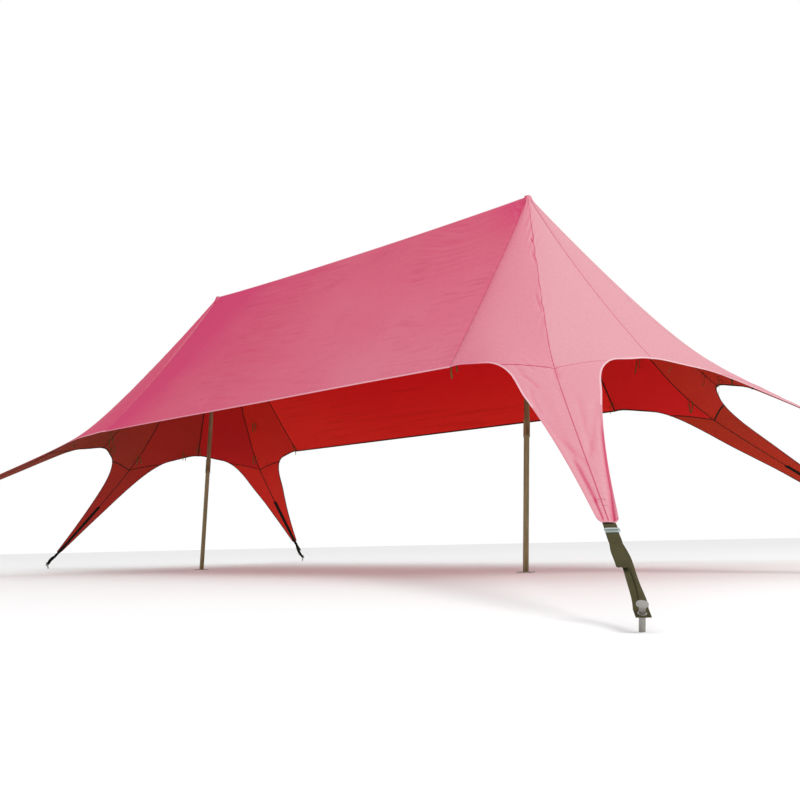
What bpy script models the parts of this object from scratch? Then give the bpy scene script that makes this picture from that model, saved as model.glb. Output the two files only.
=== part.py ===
# Twin-mast star tent: a ridge canopy on two masts with six pegged legs.
# Metres, +Z up. X runs along the ridge, -Y is the near long side, the origin lies
# on the ground midway between the two mast heads.
# Each end of the canopy is described in the plan frame of its legs: u runs out along
# the leg from the mast head, v across it. Every canopy piece is a height over the plan
# with a vertical thickness, so pieces whose plans don't touch can't overlap.

import math

import bpy
import bmesh
import numpy as np

# Masts
headHeight = 4.80            # top of the canopy at the mast heads
halfSpacing = 3.17           # half of the distance between the two mast heads
mastLean = 0.305             # both mast feet stand this far towards -X of their heads
leanTop = 4.70               # height at which the leaning mast axis meets the head axis
tubeRadius = 0.035
tubeWall = 0.003
sleeveRadius = 0.041         # wider lower end of the upper tube
sleeveBottom = 1.65
sleeveTop = 1.88
sleeveTaper = 0.01
tubeTop = 4.66
footPlate = (0.18, 0.18, 0.010)
spigotLength = 0.12
capRadius = 0.0575           # plug that fills the ring left open at the peak
capShoulder = 4.745          # height above which the plug narrows to its flat top
capTopRadius = 0.040

# Canopy
fabricDrop = 0.008           # vertical thickness of every canopy solid
gap = 0.0003                 # clear distance between neighbouring pieces
ringRadius = 0.060           # opening of the canopy around the mast head
cornerAngle = 58.0           # plan angle of the corner legs from the X axis, degrees
legSlope = 1.223             # mean fall per metre along the leg seams above the neck
neckRound = 0.34             # how softly crown and leg meet
legCrown = 0.58              # how fast a leg's surface drops away from its centre line
archRise = 0.029             # plan spread of the arch edge, metres per degree
archRound = 9.3              # degrees over which the arch edge is rounded
archEnd = 16.4               # degrees from the leg where the arch edge turns into the leg
kneeStart = 3.35             # plan distance from which a leg's edge is straight
neckSide = (2.35, 0.515)     # where the neck seam meets the edge of the leg, u and v
tipHalfWidth = 0.055
legTaper = 0.071             # widening of a leg's half width per metre from its tip
legFlare = 0.0207            # and its widening per square metre
ridgeSag = 0.04
seamBlend = 6                # power with which a gore's height settles on its side seam
seamReach = (2.6, 3.2)       # plan distances between which that settling fades away

# The two kinds of seam beside a leg: its mean fall per metre, plan length, angle to the
# leg, and sag halfway down, which is larger beside the ridge at the left mast
valleySeam = {"slope": 1.249, "radius": 2.12, "span": cornerAngle / 2, "sag": 0.10}
ridgeSeam = {"slope": 1.278, "radius": 2.055, "span": 29.3}
ridgeSeamSag = {1: 0.045, -1: 0.12}

# The two kinds of leg: neck seam apex and fabric tip, plan distance and height
legKinds = {
    "corner": {"neck": (2.655, 1.888), "tip": (5.55, 0.495)},
    "end": {"neck": (2.626, 1.809), "tip": (5.12, 0.358)},
}

# Legs: mast is +1 or -1, angle is the plan direction in degrees, ridgeSide is the side in
# v that turns towards the ridge panels, or 0 on the end legs, and sag is that of the leg's
# seam halfway between mast head and neck
legs = {
    "near_right": {"mast": 1, "angle": -cornerAngle, "kind": "corner", "ridgeSide": -1,
                   "sag": 0.075},
    "right_end": {"mast": 1, "angle": 0, "kind": "end", "ridgeSide": 0, "sag": 0.20},
    "far_right": {"mast": 1, "angle": cornerAngle, "kind": "corner", "ridgeSide": 1,
                  "sag": 0.075},
    "near_left": {"mast": -1, "angle": 180 + cornerAngle, "kind": "corner", "ridgeSide": 1,
                  "sag": 0.075},
    "left_end": {"mast": -1, "angle": 180, "kind": "end", "ridgeSide": 0, "sag": 0.12},
    "far_left": {"mast": -1, "angle": 180 - cornerAngle, "kind": "corner", "ridgeSide": -1,
                 "sag": 0.075},
}

# Anchoring
strapWidth = 0.065
strapThickness = 0.006
eyeSteps = 24
pegHeight = 0.08             # height at which the strap's eye rings the peg
pegRadius = 0.014
pegAboveStrap = 0.035
pegHeadRadius = 0.026
pegHeadHeight = 0.012
buckleFromTip = 0.060
buckleLength = 0.045
buckleWall = 0.008

# Mesh density
roundSteps = 32
goreRows = 10
rowGrading = 1.4             # above 1 the rows of a gore crowd towards the mast head
neckColumns = 3
archColumns = 4
legRows = 10
legColumns = 3
ridgeRows = 6
ringSteps = 3                # chords of a ridge panel round the ring at each mast head
ridgeColumns = 12
curveSteps = 40

# Finishes: colour, roughness, metallic
pinkFabric = ((0.62, 0.09, 0.20), 0.7, 0.0)
lightFabric = ((0.75, 0.23, 0.32), 0.7, 0.0)
webbing = ((0.09, 0.085, 0.05), 0.9, 0.0)
mastPaint = ((0.20, 0.14, 0.08), 0.5, 0.0)
zinc = ((0.55, 0.56, 0.57), 0.4, 1.0)


def clearScene():
    for item in list(bpy.data.objects):
        bpy.data.objects.remove(item, do_unlink=True)


def makeMaterial(name, finish):
    colour, roughness, metallic = finish
    material = bpy.data.materials.new(name)
    material.use_nodes = True
    shader = material.node_tree.nodes["Principled BSDF"]
    shader.inputs["Base Color"].default_value = (*colour, 1.0)
    shader.inputs["Roughness"].default_value = roughness
    shader.inputs["Metallic"].default_value = metallic
    return material


def addPiece(name, points, faces, finish, smooth=False):
    """One closed solid as its own object, with its faces turned outwards."""
    mesh = bpy.data.meshes.new(name)
    mesh.from_pydata([tuple(point) for point in points], [], faces)
    work = bmesh.new()
    work.from_mesh(mesh)
    bmesh.ops.triangulate(work, faces=work.faces)
    bmesh.ops.recalc_face_normals(work, faces=work.faces)
    work.to_mesh(mesh)
    work.free()
    if smooth:
        mesh.shade_smooth()
        mesh.set_sharp_from_angle(angle=math.radians(40))
    mesh.materials.append(makeMaterial(name, finish))
    piece = bpy.data.objects.new(name, mesh)
    bpy.context.scene.collection.objects.link(piece)


def closeSheet(top, bottom, faces):
    """Points and faces of the solid between two sheets that share the same faces."""
    count = len(top)
    used = {(a, b) for face in faces for a, b in zip(face, face[1:] + face[:1])}
    walls = [(b, a, a + count, b + count) for a, b in used if (b, a) not in used]
    lower = [tuple(i + count for i in reversed(face)) for face in faces]
    return np.concatenate([top, bottom]), faces + lower + walls


def gridFaces(rows, columns):
    """Quads of a grid of points numbered row by row."""
    corners = [i * columns + j for i in range(rows - 1) for j in range(columns - 1)]
    return [(a, a + 1, a + columns + 1, a + columns) for a in corners]


def ringFaces(rings, steps, closed):
    """Quads between rings of points; a closed stack joins its last ring to its first."""
    faces = []
    for k in range(rings if closed else rings - 1):
        low = k * steps
        high = (k + 1) % rings * steps
        for i in range(steps):
            j = (i + 1) % steps
            faces.append((low + i, low + j, high + j, high + i))
    if not closed:
        faces.append(tuple(range(steps)))
        faces.append(tuple(range((rings - 1) * steps, rings * steps)))
    return faces


def circleWay():
    """Unit vectors round a circle, as rows of two numbers."""
    angles = np.linspace(0, 2 * math.pi, roundSteps, endpoint=False) + math.pi / roundSteps
    return np.stack([np.cos(angles), np.sin(angles)], -1)


# Shape of the canopy

def facetSlope(angle, seam):
    """Fall per metre in a plan direction, on the plane through leg seam and side seam."""
    span = math.radians(seam["span"])
    return (legSlope * np.sin(span - angle) + seam["slope"] * np.sin(angle)) / math.sin(span)


def seamSag(share, sag):
    """Parabolic sag at a share of the way down a seam, given its sag halfway."""
    share = np.clip(share, 0, 1)
    return 4 * sag * share * (1 - share)


def blendedHeight(u, v, leg, seam):
    """Crown facet and leg surface, whichever is higher, with a soft change between them."""
    neckU, neckZ = legKinds[leg["kind"]]["neck"]
    radius = np.hypot(u, v)
    angle = np.arctan2(v, u)
    beside = np.clip(angle / math.radians(seam["span"]), 0, 1)
    reach = neckU * (1 - beside) + seam["radius"] * beside
    sag = leg["sag"] * (1 - beside) ** 2 + seam["sag"] * beside ** 2
    crown = headHeight - radius * facetSlope(angle, seam) - seamSag(radius / reach, sag)
    lower = neckZ - 0.1 * neckRound - legFall(leg["kind"]) * (u - neckU) - legCrown * v ** 4
    return 0.5 * (crown + lower) + 0.5 * np.sqrt((crown - lower) ** 2 + neckRound ** 2)


def canopyHeight(u, v, leg, seam):
    """Height of a canopy end; on a side seam it is the sagging line both gores share."""
    span = math.radians(seam["span"])
    radius = np.hypot(u, v)
    angle = np.arctan2(v, u)
    atSeam = blendedHeight(radius * math.cos(span), radius * math.sin(span), leg, seam)
    seamLine = headHeight - radius * seam["slope"] - seamSag(radius / seam["radius"], seam["sag"])
    fade = (seamReach[1] - radius) / (seamReach[1] - seamReach[0])
    share = np.clip(angle / span, 0, 1) ** seamBlend * np.clip(fade, 0, 1)
    return blendedHeight(u, v, leg, seam) - share * (atSeam - seamLine)


def legFall(kind):
    """Fall per metre of a leg between its neck and its tip."""
    neckU, neckZ = legKinds[kind]["neck"]
    tipU, tipZ = legKinds[kind]["tip"]
    return (neckZ - tipZ) / (tipU - neckU)


def legHalfWidth(u, kind):
    fromTip = legKinds[kind]["tip"][0] - u
    return tipHalfWidth + legTaper * fromTip + legFlare * fromTip ** 2


def archEdge(seam, angles):
    """Plan points of the free edge beside a seam, for angles measured from the leg."""
    away = seam["span"] - angles
    radius = seam["radius"] + archRise * (np.sqrt(away ** 2 + archRound ** 2) - archRound)
    turned = np.radians(angles)
    return np.stack([radius * np.cos(turned), radius * np.sin(turned)], -1)


def kneeCurve(kind, seam, t):
    """Cubic from the end of the arch edge to the start of the leg's straight edge."""
    start, before = archEdge(seam, np.array([archEnd, archEnd + 0.1]))
    end = np.array([kneeStart, legHalfWidth(kneeStart, kind)])
    reach = np.linalg.norm(end - start)
    startWay = reach * (start - before) / np.linalg.norm(start - before)
    narrowing = legTaper + 2 * legFlare * (legKinds[kind]["tip"][0] - kneeStart)
    endWay = reach * np.array([1.0, -narrowing]) / math.hypot(1.0, narrowing)
    t = t[:, None]
    curve = (2 * t ** 3 - 3 * t ** 2 + 1) * start + (t ** 3 - 2 * t ** 2 + t) * startWay
    return curve + (3 * t ** 2 - 2 * t ** 3) * end + (t ** 3 - t ** 2) * endWay


def splitEdge(kind, seam):
    """Plan polylines of half an arch above and below the neck seam's end on it."""
    arch = archEdge(seam, np.linspace(seam["span"], archEnd, curveSteps))
    knee = kneeCurve(kind, seam, np.linspace(0, 1, curveSteps)[1:-1])
    along = np.linspace(kneeStart, legKinds[kind]["tip"][0], curveSteps)
    edge = np.concatenate([arch, knee, np.stack([along, legHalfWidth(along, kind)], -1)])
    nearest = int(np.argmin(np.hypot(*(edge - neckSide).T)))
    return edge[:nearest + 1], edge[nearest:]


def resample(line, share):
    """Points of a polyline at the given shares of its length."""
    steps = np.concatenate([[0], np.cumsum(np.hypot(*np.diff(line, axis=0).T))])
    return np.stack([np.interp(share, steps / steps[-1], column) for column in line.T], -1)


def toWorld(leg, u, v, z):
    """From the plan frame of a leg to the world."""
    angle = math.radians(leg["angle"])
    x = leg["mast"] * halfSpacing + u * math.cos(angle) - v * math.sin(angle)
    y = u * math.sin(angle) + v * math.cos(angle)
    return np.stack(np.broadcast_arrays(x, y, z), -1).reshape(-1, 3)


def seamOn(leg, side):
    """Seam on one side of a leg, with its sag."""
    if side == leg["ridgeSide"]:
        return {**ridgeSeam, "sag": ridgeSeamSag[leg["mast"]]}
    return valleySeam


def addSheet(name, top, rows, columns, finish):
    points, faces = closeSheet(top, top - [0, 0, fabricDrop], gridFaces(rows, columns))
    addPiece(name, points, faces, finish)


def makeGore(name, leg, side):
    """Crown gore between a leg's seam and one side seam, from the ring to the edge."""
    kind = leg["kind"]
    seam = seamOn(leg, side)
    upper = splitEdge(kind, seam)[0]
    share = np.linspace(0, 1, neckColumns + 1)[:, None]
    neck = np.array([legKinds[kind]["neck"][0], 0.0]) * (1 - share) + upper[-1] * share
    arch = resample(upper[::-1], np.linspace(0, 1, archColumns + 1))[1:]
    bottom = np.concatenate([neck, arch])
    angle = np.arctan2(bottom[:, 1], bottom[:, 0])
    reach = np.hypot(bottom[:, 0], bottom[:, 1]) - 0.5 * gap
    down = np.linspace(0, 1, goreRows + 1)[:, None] ** rowGrading
    radius = ringRadius + down * (reach - ringRadius)
    u = radius * np.cos(angle)
    v = radius * np.sin(angle)
    z = canopyHeight(u, v, leg, seam)
    across = angle / angle[-1]
    u = u + 0.5 * gap * across * math.sin(angle[-1])
    v = v + 0.5 * gap * (1 - across - across * math.cos(angle[-1]))
    addSheet(name, toWorld(leg, u, side * v, z), goreRows + 1, len(bottom), lightFabric)


def makeLegPanel(name, leg):
    """Lower leg from the neck seam to the tip, both halves in one sheet."""
    kind = leg["kind"]
    neckU = legKinds[kind]["neck"][0]
    tipU = legKinds[kind]["tip"][0]
    halves = []
    for side in (-1, 1):
        seam = seamOn(leg, side)
        edge = resample(splitEdge(kind, seam)[1], np.linspace(0, 1, legRows + 1))
        share = np.linspace(0, 1, legColumns + 1)
        if side < 0:
            share = share[:0:-1]
        centre = neckU + (edge[:, :1] - edge[0, 0]) * (tipU - neckU) / (tipU - edge[0, 0])
        u = centre * (1 - share) + edge[:, :1] * share + 0.5 * gap
        v = edge[:, 1:] * share
        halves.append((u, side * v, canopyHeight(u, v, leg, seam)))
    u, v, z = (np.concatenate(pair, 1) for pair in zip(*halves))
    addSheet(name, toWorld(leg, u, v, z), legRows + 1, u.shape[1], lightFabric)


def makeRidgePanel(name, side):
    """Long panel between the ridge and one long edge, side is -1 near and +1 far."""
    direction = math.radians(cornerAngle + ridgeSeam["span"])
    turn = np.linspace(math.pi, direction, ringSteps + 1)
    ring = ringRadius * np.stack([np.cos(turn), np.sin(turn)], -1)
    edge = ridgeSeam["radius"] * np.array([math.cos(direction), math.sin(direction)])
    share = np.linspace(0, 1, ridgeRows + 1)[1:, None]
    outline = np.concatenate([ring, ring[-1] + share * (edge - ring[-1])])
    y = np.maximum(outline[:, 1:], 0.5 * gap)
    limit = halfSpacing + outline[:, :1] - gap
    across = np.linspace(-1, 1, ridgeColumns + 1)
    down = y / edge[1]
    drop = ridgeSeam["radius"] * ridgeSeam["slope"] * down
    endSag = np.where(across > 0, ridgeSeamSag[1], ridgeSeamSag[-1]) * across ** 2
    z = headHeight - drop - ridgeSag * (1 - across ** 2) * (1 - down) - seamSag(down, endSag)
    x, y, z = np.broadcast_arrays(limit * across, side * y, z)
    top = np.stack([x, y, z], -1).reshape(-1, 3)
    addSheet(name, top, len(outline), ridgeColumns + 1, pinkFabric)


# Masts

def mastAxis(mast, z):
    """X of the leaning mast axis at a height; above leanTop it is the head's own X."""
    return mast * halfSpacing - mastLean * (1 - np.minimum(z, leanTop) / leanTop)


def makeTurned(name, mast, profile, finish, closed):
    """Level rings along the mast axis; a closed profile makes a tube."""
    way = circleWay()
    rings = [np.c_[way * radius + [mastAxis(mast, z), 0], np.full(roundSteps, z)]
             for radius, z in profile]
    addPiece(name, np.concatenate(rings), ringFaces(len(rings), roundSteps, closed), finish, True)


def makeFoot(name, mast, spigotRadius):
    """Square plate on the ground with a round spigot that stands in the tube."""
    width, depth, height = footPlate
    way = circleWay()
    square = way / np.abs(way).max(1)[:, None] * (width / 2, depth / 2)
    outlines = [(square, 0, 0), (square, height, 0), (way * spigotRadius, height, height),
                (way * spigotRadius, height + spigotLength, height + spigotLength)]
    rings = [np.c_[outline + [mastAxis(mast, axisZ), 0], np.full(roundSteps, z)]
             for outline, z, axisZ in outlines]
    addPiece(name, np.concatenate(rings), ringFaces(len(rings), roundSteps, False), zinc)


def makeMast(name, mast):
    inside = tubeRadius - tubeWall
    bottom = footPlate[2] + gap
    joint = sleeveTop - 2 * sleeveTaper
    bore = tubeRadius + gap
    shoulder = tubeTop + gap
    makeFoot(name + "_foot", mast, inside - gap)
    makeTurned(name + "_lower_tube", mast,
               [(tubeRadius, bottom), (tubeRadius, joint), (inside, joint), (inside, bottom)],
               mastPaint, True)
    makeTurned(name + "_upper_tube", mast,
               [(sleeveRadius, sleeveBottom), (sleeveRadius, sleeveTop),
                (tubeRadius, sleeveTop + sleeveTaper), (tubeRadius, tubeTop), (inside, tubeTop),
                (inside, joint + gap), (bore, joint + gap), (bore, sleeveBottom)],
               mastPaint, True)
    makeTurned(name + "_cap", mast,
               [(inside - gap, tubeTop - spigotLength), (inside - gap, shoulder),
                (tubeRadius, shoulder), (capRadius, leanTop), (capRadius, capShoulder),
                (capTopRadius, headHeight)],
               zinc, False)


# Straps and pegs

def strapFrame(leg):
    """Height of the strap's start, its fall angle, and its length down to the peg."""
    kind = leg["kind"]
    fall = math.atan(legFall(kind))
    startZ = canopyHeight(legKinds[kind]["tip"][0], 0.0, leg, valleySeam) - 0.5 * fabricDrop
    return startZ, fall, (startZ - pegHeight) / math.sin(fall)


def strapPoints(leg, along, across, above):
    """World points from distances along, across and above the strap's centre line."""
    startZ, fall, length = strapFrame(leg)
    startU = legKinds[leg["kind"]]["tip"][0] + 0.5 * gap
    u = startU + along * math.cos(fall) + above * math.sin(fall)
    return toWorld(leg, u, across, startZ - along * math.sin(fall) + above * math.cos(fall))


def makeStrap(name, leg):
    """Webbing from the leg's tip to the peg, with a round eye at its end."""
    startZ, fall, length = strapFrame(leg)
    half = 0.5 * strapWidth
    first = (gap + 0.5 * strapThickness * math.sin(fall)) / math.cos(fall)
    angles = np.linspace(0, 2 * math.pi, eyeSteps, endpoint=False)
    way = np.stack([np.cos(angles), np.sin(angles)], -1)
    squareReach = half / np.abs(way).max(1)
    reach = np.where(way[:, 0] > 0, half, squareReach)[:, None]
    eye = np.array([length, 0])
    plan = np.concatenate([eye + way * (pegRadius + gap), eye + way * reach,
                           [[first, -half], [first, half]]])
    faces = [(i, (i + 1) % eyeSteps, eyeSteps + (i + 1) % eyeSteps, eyeSteps + i)
             for i in range(eyeSteps)]
    backLine = [eyeSteps + i for i in range(3 * eyeSteps // 8, 5 * eyeSteps // 8 + 1)]
    faces.append(tuple(backLine + [2 * eyeSteps, 2 * eyeSteps + 1]))
    top = strapPoints(leg, plan[:, 0], plan[:, 1], 0.5 * strapThickness)
    bottom = strapPoints(leg, plan[:, 0], plan[:, 1], -0.5 * strapThickness)
    points, faces = closeSheet(top, bottom, faces)
    addPiece(name, points, faces, webbing)


def makeBuckle(name, leg):
    """Steel frame that rings the strap just below the leg's tip."""
    halfWide = 0.5 * strapWidth + gap
    halfThick = 0.5 * strapThickness + gap
    corners = np.array([(-1, -1), (1, -1), (1, 1), (-1, 1)])
    inner = corners * (halfWide, halfThick)
    outer = inner + corners * buckleWall
    ends = (buckleFromTip, buckleFromTip + buckleLength)
    order = ((inner, ends[0]), (outer, ends[0]), (outer, ends[1]), (inner, ends[1]))
    rings = [strapPoints(leg, along, ring[:, 0], ring[:, 1]) for ring, along in order]
    addPiece(name, np.concatenate(rings), ringFaces(len(rings), len(corners), True), zinc)


def makePeg(name, leg):
    """Peg square to the strap, cut level with the ground, with a round head."""
    startZ, fall, length = strapFrame(leg)
    way = circleWay()
    shaft = way * pegRadius + [length, 0]
    head = way * pegHeadRadius + [length, 0]
    ground = -(startZ - shaft[:, 0] * math.sin(fall)) / math.cos(fall)
    order = ((shaft, ground), (shaft, pegAboveStrap), (head, pegAboveStrap),
             (head, pegAboveStrap + pegHeadHeight))
    rings = [strapPoints(leg, ring[:, 0], ring[:, 1], above) for ring, above in order]
    addPiece(name, np.concatenate(rings), ringFaces(len(rings), roundSteps, False), zinc, True)


def main():
    clearScene()
    makeRidgePanel("ridge_panel_near", -1)
    makeRidgePanel("ridge_panel_far", 1)
    for name, leg in legs.items():
        if leg["ridgeSide"]:
            sides = {"ridge_side": leg["ridgeSide"], "end_side": -leg["ridgeSide"]}
        else:
            sides = {"near_side": -leg["mast"], "far_side": leg["mast"]}
        for sideName, side in sides.items():
            makeGore("crown_gore_" + name + "_" + sideName, leg, side)
        makeLegPanel("leg_panel_" + name, leg)
        makeStrap("strap_" + name, leg)
        makeBuckle("buckle_" + name, leg)
        makePeg("peg_" + name, leg)
    makeMast("mast_right", 1)
    makeMast("mast_left", -1)


main()
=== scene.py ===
# A pink star tent on two masts, dressed over its fixed frame.
# Lengths are metres, X runs along the ridge, -Y is the near long side.
import math

import bpy
import bmesh
import numpy as np
from mathutils import Matrix, Vector


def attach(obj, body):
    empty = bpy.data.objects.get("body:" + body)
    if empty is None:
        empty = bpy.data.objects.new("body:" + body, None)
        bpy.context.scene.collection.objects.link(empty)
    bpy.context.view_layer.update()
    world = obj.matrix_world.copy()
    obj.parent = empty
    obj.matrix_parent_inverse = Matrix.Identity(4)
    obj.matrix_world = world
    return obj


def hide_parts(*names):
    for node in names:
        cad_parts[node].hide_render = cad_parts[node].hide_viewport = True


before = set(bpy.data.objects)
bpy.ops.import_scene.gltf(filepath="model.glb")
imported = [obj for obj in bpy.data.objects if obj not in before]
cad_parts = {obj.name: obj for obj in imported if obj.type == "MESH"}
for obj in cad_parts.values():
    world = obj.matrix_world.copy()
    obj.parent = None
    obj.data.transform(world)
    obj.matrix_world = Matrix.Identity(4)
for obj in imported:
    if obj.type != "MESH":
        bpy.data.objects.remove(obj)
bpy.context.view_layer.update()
print("frame loaded,", len(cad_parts), "nodes")


# Shape of the canopy, the same driving sizes as the solids

shape = {
    "headHeight": 4.80, "halfSpacing": 3.17, "cornerAngle": 58.0, "legSlope": 1.223,
    "neckRound": 0.34, "legCrown": 0.58, "archRise": 0.029, "archRound": 9.3, "archEnd": 16.4,
    "kneeStart": 3.35, "neckSide": (2.35, 0.515), "tipHalf": 0.055, "legTaper": 0.071,
    "legFlare": 0.0207, "ridgeSag": 0.04, "ringRadius": 0.06, "cloth": 0.0015,
    "settlePower": 6, "settleEnd": 3.2, "settleOver": 0.6, "edgeSteps": 160,
}
valleySeam = {"slope": 1.249, "radius": 2.12, "span": 29.0}
ridgeSeam = {"slope": 1.278, "radius": 2.055, "span": 29.3}
ridgeTurn = shape["cornerAngle"] + ridgeSeam["span"]
corner = {"neck": (2.655, 1.888), "tip": (5.55, 0.495)}
end = {"neck": (2.626, 1.809), "tip": (5.12, 0.358)}
# Sag halfway down the seams, at the right and at the left mast
sags = {"corner": (0.075, 0.075), "end": (0.20, 0.12), "valley": (0.10, 0.10), "ridge": (0.045, 0.12)}
# Each leg's mast, heading in the plan, cut, the side that meets a ridge panel (0 for none) and
# the way its folds are mirrored
legs = {
    "near_right": {"mast": 1, "angle": -58, "kind": corner, "ridgeSide": -1, "foldWay": 1},
    "right_end": {"mast": 1, "angle": 0, "kind": end, "ridgeSide": 0, "foldWay": -1},
    "far_right": {"mast": 1, "angle": 58, "kind": corner, "ridgeSide": 1, "foldWay": 1},
    "near_left": {"mast": -1, "angle": 238, "kind": corner, "ridgeSide": 1, "foldWay": -1},
    "left_end": {"mast": -1, "angle": 180, "kind": end, "ridgeSide": 0, "foldWay": -1},
    "far_left": {"mast": -1, "angle": 122, "kind": corner, "ridgeSide": -1, "foldWay": 1},
}
# The cloth over a mast head: a flat top, then a steep fall onto the cone of the canopy
head = {"top": 4.8025, "under": 0.004, "flat": 0.041, "fall": 2.6, "round": 0.005}


def smoothStep(t):
    t = np.clip(t, 0, 1)
    return t * t * (3 - 2 * t)


def rise(value, start, over):
    # 0 up to the start, then evenly up to 1 over the given length
    return np.clip((value - start) / over, 0, 1)


def bell(distance, width):
    return np.exp(-(distance / width) ** 2)


def softMax(a, b, roundness):
    return 0.5 * (a + b + np.sqrt((a - b) ** 2 + roundness ** 2))


def unit(vectors):
    return vectors / np.linalg.norm(vectors, axis=-1, keepdims=True)


def polar(radius, turn):
    return np.stack(np.broadcast_arrays(radius * np.cos(turn), radius * np.sin(turn)), -1)


def runLength(line):
    # Distance along a line of points, from its first one
    return np.concatenate([[0], np.cumsum(np.linalg.norm(np.diff(line, axis=0), axis=1))])


def circle(steps):
    return np.linspace(0, 2 * math.pi, steps, endpoint=False)


def softNoise(x, y, seed):
    # Random heights on a unit lattice, joined by smooth steps
    table = np.random.default_rng(seed).uniform(-1, 1, (64, 64))
    i, j = np.floor(x).astype(int), np.floor(y).astype(int)
    fx, fy = smoothStep(x - i), smoothStep(y - j)
    low, high = (table[i % 64, row % 64] * (1 - fx) + table[(i + 1) % 64, row % 64] * fx
                 for row in (j, j + 1))
    return low * (1 - fy) + high * fy


def sagAt(share, sag):
    # A parabola: nothing at both ends of a seam, the full sag halfway
    share = np.clip(share, 0, 1)
    return 4 * sag * share * (1 - share)


def legFall(kind):
    return (kind["neck"][1] - kind["tip"][1]) / (kind["tip"][0] - kind["neck"][0])


def bladeHeight(u, v, kind, seam, legSag, seamSag):
    # Crown: a plane through leg seam and side seam, less the sag of both seams.
    # Leg: a straight fall, dropping with the fourth power of the distance from its middle.
    # The higher of the two counts, with a soft change between them.
    neckU, neckZ = kind["neck"]
    radius, angle = np.hypot(u, v), np.arctan2(v, u)
    span = math.radians(seam["span"])
    slope = (shape["legSlope"] * np.sin(span - angle) + seam["slope"] * np.sin(angle)) / math.sin(span)
    beside = np.clip(angle / span, 0, 1)
    reach = neckU * (1 - beside) + seam["radius"] * beside
    sag = sagAt(radius / reach, legSag * (1 - beside) ** 2 + seamSag * beside ** 2)
    crown = shape["headHeight"] - radius * slope - sag
    leg = neckZ - 0.1 * shape["neckRound"] - legFall(kind) * (u - neckU) - shape["legCrown"] * v ** 4
    return softMax(crown, leg, shape["neckRound"])


def endHeight(u, v, kind, seam, legSag, seamSag):
    # The same height, settled on the side seam that both neighbours share
    span = math.radians(seam["span"])
    radius, angle = np.hypot(u, v), np.arctan2(v, u)
    atSeam = bladeHeight(radius * math.cos(span), radius * math.sin(span), kind, seam, legSag, seamSag)
    seamLine = shape["headHeight"] - radius * seam["slope"] - sagAt(radius / seam["radius"], seamSag)
    share = np.clip(angle / span, 0, 1) ** shape["settlePower"]
    share = share * rise(radius, shape["settleEnd"], -shape["settleOver"])
    return bladeHeight(u, v, kind, seam, legSag, seamSag) - share * (atSeam - seamLine)


def fromHead(x, y):
    # Plan distances from the nearer head, outwards, sideways and straight, and the turn round
    # it in degrees, 0 away from the other mast
    px, py = np.abs(x) - shape["halfSpacing"], np.abs(y)
    return px, py, np.hypot(px, py), np.degrees(np.arctan2(py, px))


def tautHeight(x, y):
    # Height over any plan point. Near and far side are alike and both ends differ only in
    # their sags, so x and y fold onto one quarter, where the turn round the head tells the panel.
    x, y = np.broadcast_arrays(np.asarray(x, float), np.asarray(y, float))
    sag = {name: np.where(x > 0, *pair) for name, pair in sags.items()}
    px, py, radius, turn = fromHead(x, y)
    beside = np.radians(np.abs(turn - shape["cornerAngle"]))
    u, v = radius * np.cos(beside), radius * np.sin(beside)
    seamTurn = math.radians(ridgeTurn)
    down = py / (ridgeSeam["radius"] * math.sin(seamTurn))
    across = x / (shape["halfSpacing"] + py / math.tan(seamTurn))
    ridge = shape["headHeight"] - ridgeSeam["radius"] * ridgeSeam["slope"] * down
    droop = shape["ridgeSag"] * (1 - across ** 2) * (1 - down)
    ridge = ridge - droop - sagAt(down, sag["ridge"] * across ** 2)
    z = np.select([turn < valleySeam["span"], turn < shape["cornerAngle"], turn < ridgeTurn],
                  [endHeight(px, py, end, valleySeam, sag["end"], sag["valley"]),
                   endHeight(u, v, corner, valleySeam, sag["corner"], sag["valley"]),
                   endHeight(u, v, corner, ridgeSeam, sag["corner"], sag["ridge"])], ridge)
    z = np.minimum(z, head["top"] - head["under"])
    cover = head["top"] - head["fall"] * np.clip(radius - head["flat"], 0, None)
    return softMax(z, cover, head["round"]) - 0.1 * head["round"]


def slopes(x, y, step):
    # How steeply the taut cloth climbs along x and along y
    return ((tautHeight(x + step, y) - tautHeight(x - step, y)) / (2 * step),
            (tautHeight(x, y + step) - tautHeight(x, y - step)) / (2 * step))


# Depths are metres of height, lengths are metres along the fabric. Drift is how far the folds
# of the other legs move along and across the leg, and how much their depth varies.

crease = {
    "ripple": 0.0024, "rippleLength": 0.45, "rippleWidth": 0.046, "swell": 0.008,
    "pucker": 0.0018, "puckerPitch": 0.085, "puckerReach": 0.040,
    "zigzag": 0.0040, "zigzagPitch": 0.17, "zigzagReach": 0.06,
    "fan": 0.0018, "fanFolds": 26, "fanReach": 0.26, "legRipple": 0.0030,
    "neckFold": 0.0030, "neckPitch": 0.085, "neckReach": 0.36, "neckCorner": (2.50, 0.36),
    "drift": (0.10, 0.012, 0.45), "foldStretch": 2.5, "foldShadeDepth": 0.014, "foldShadePower": 1.6,
}
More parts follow.
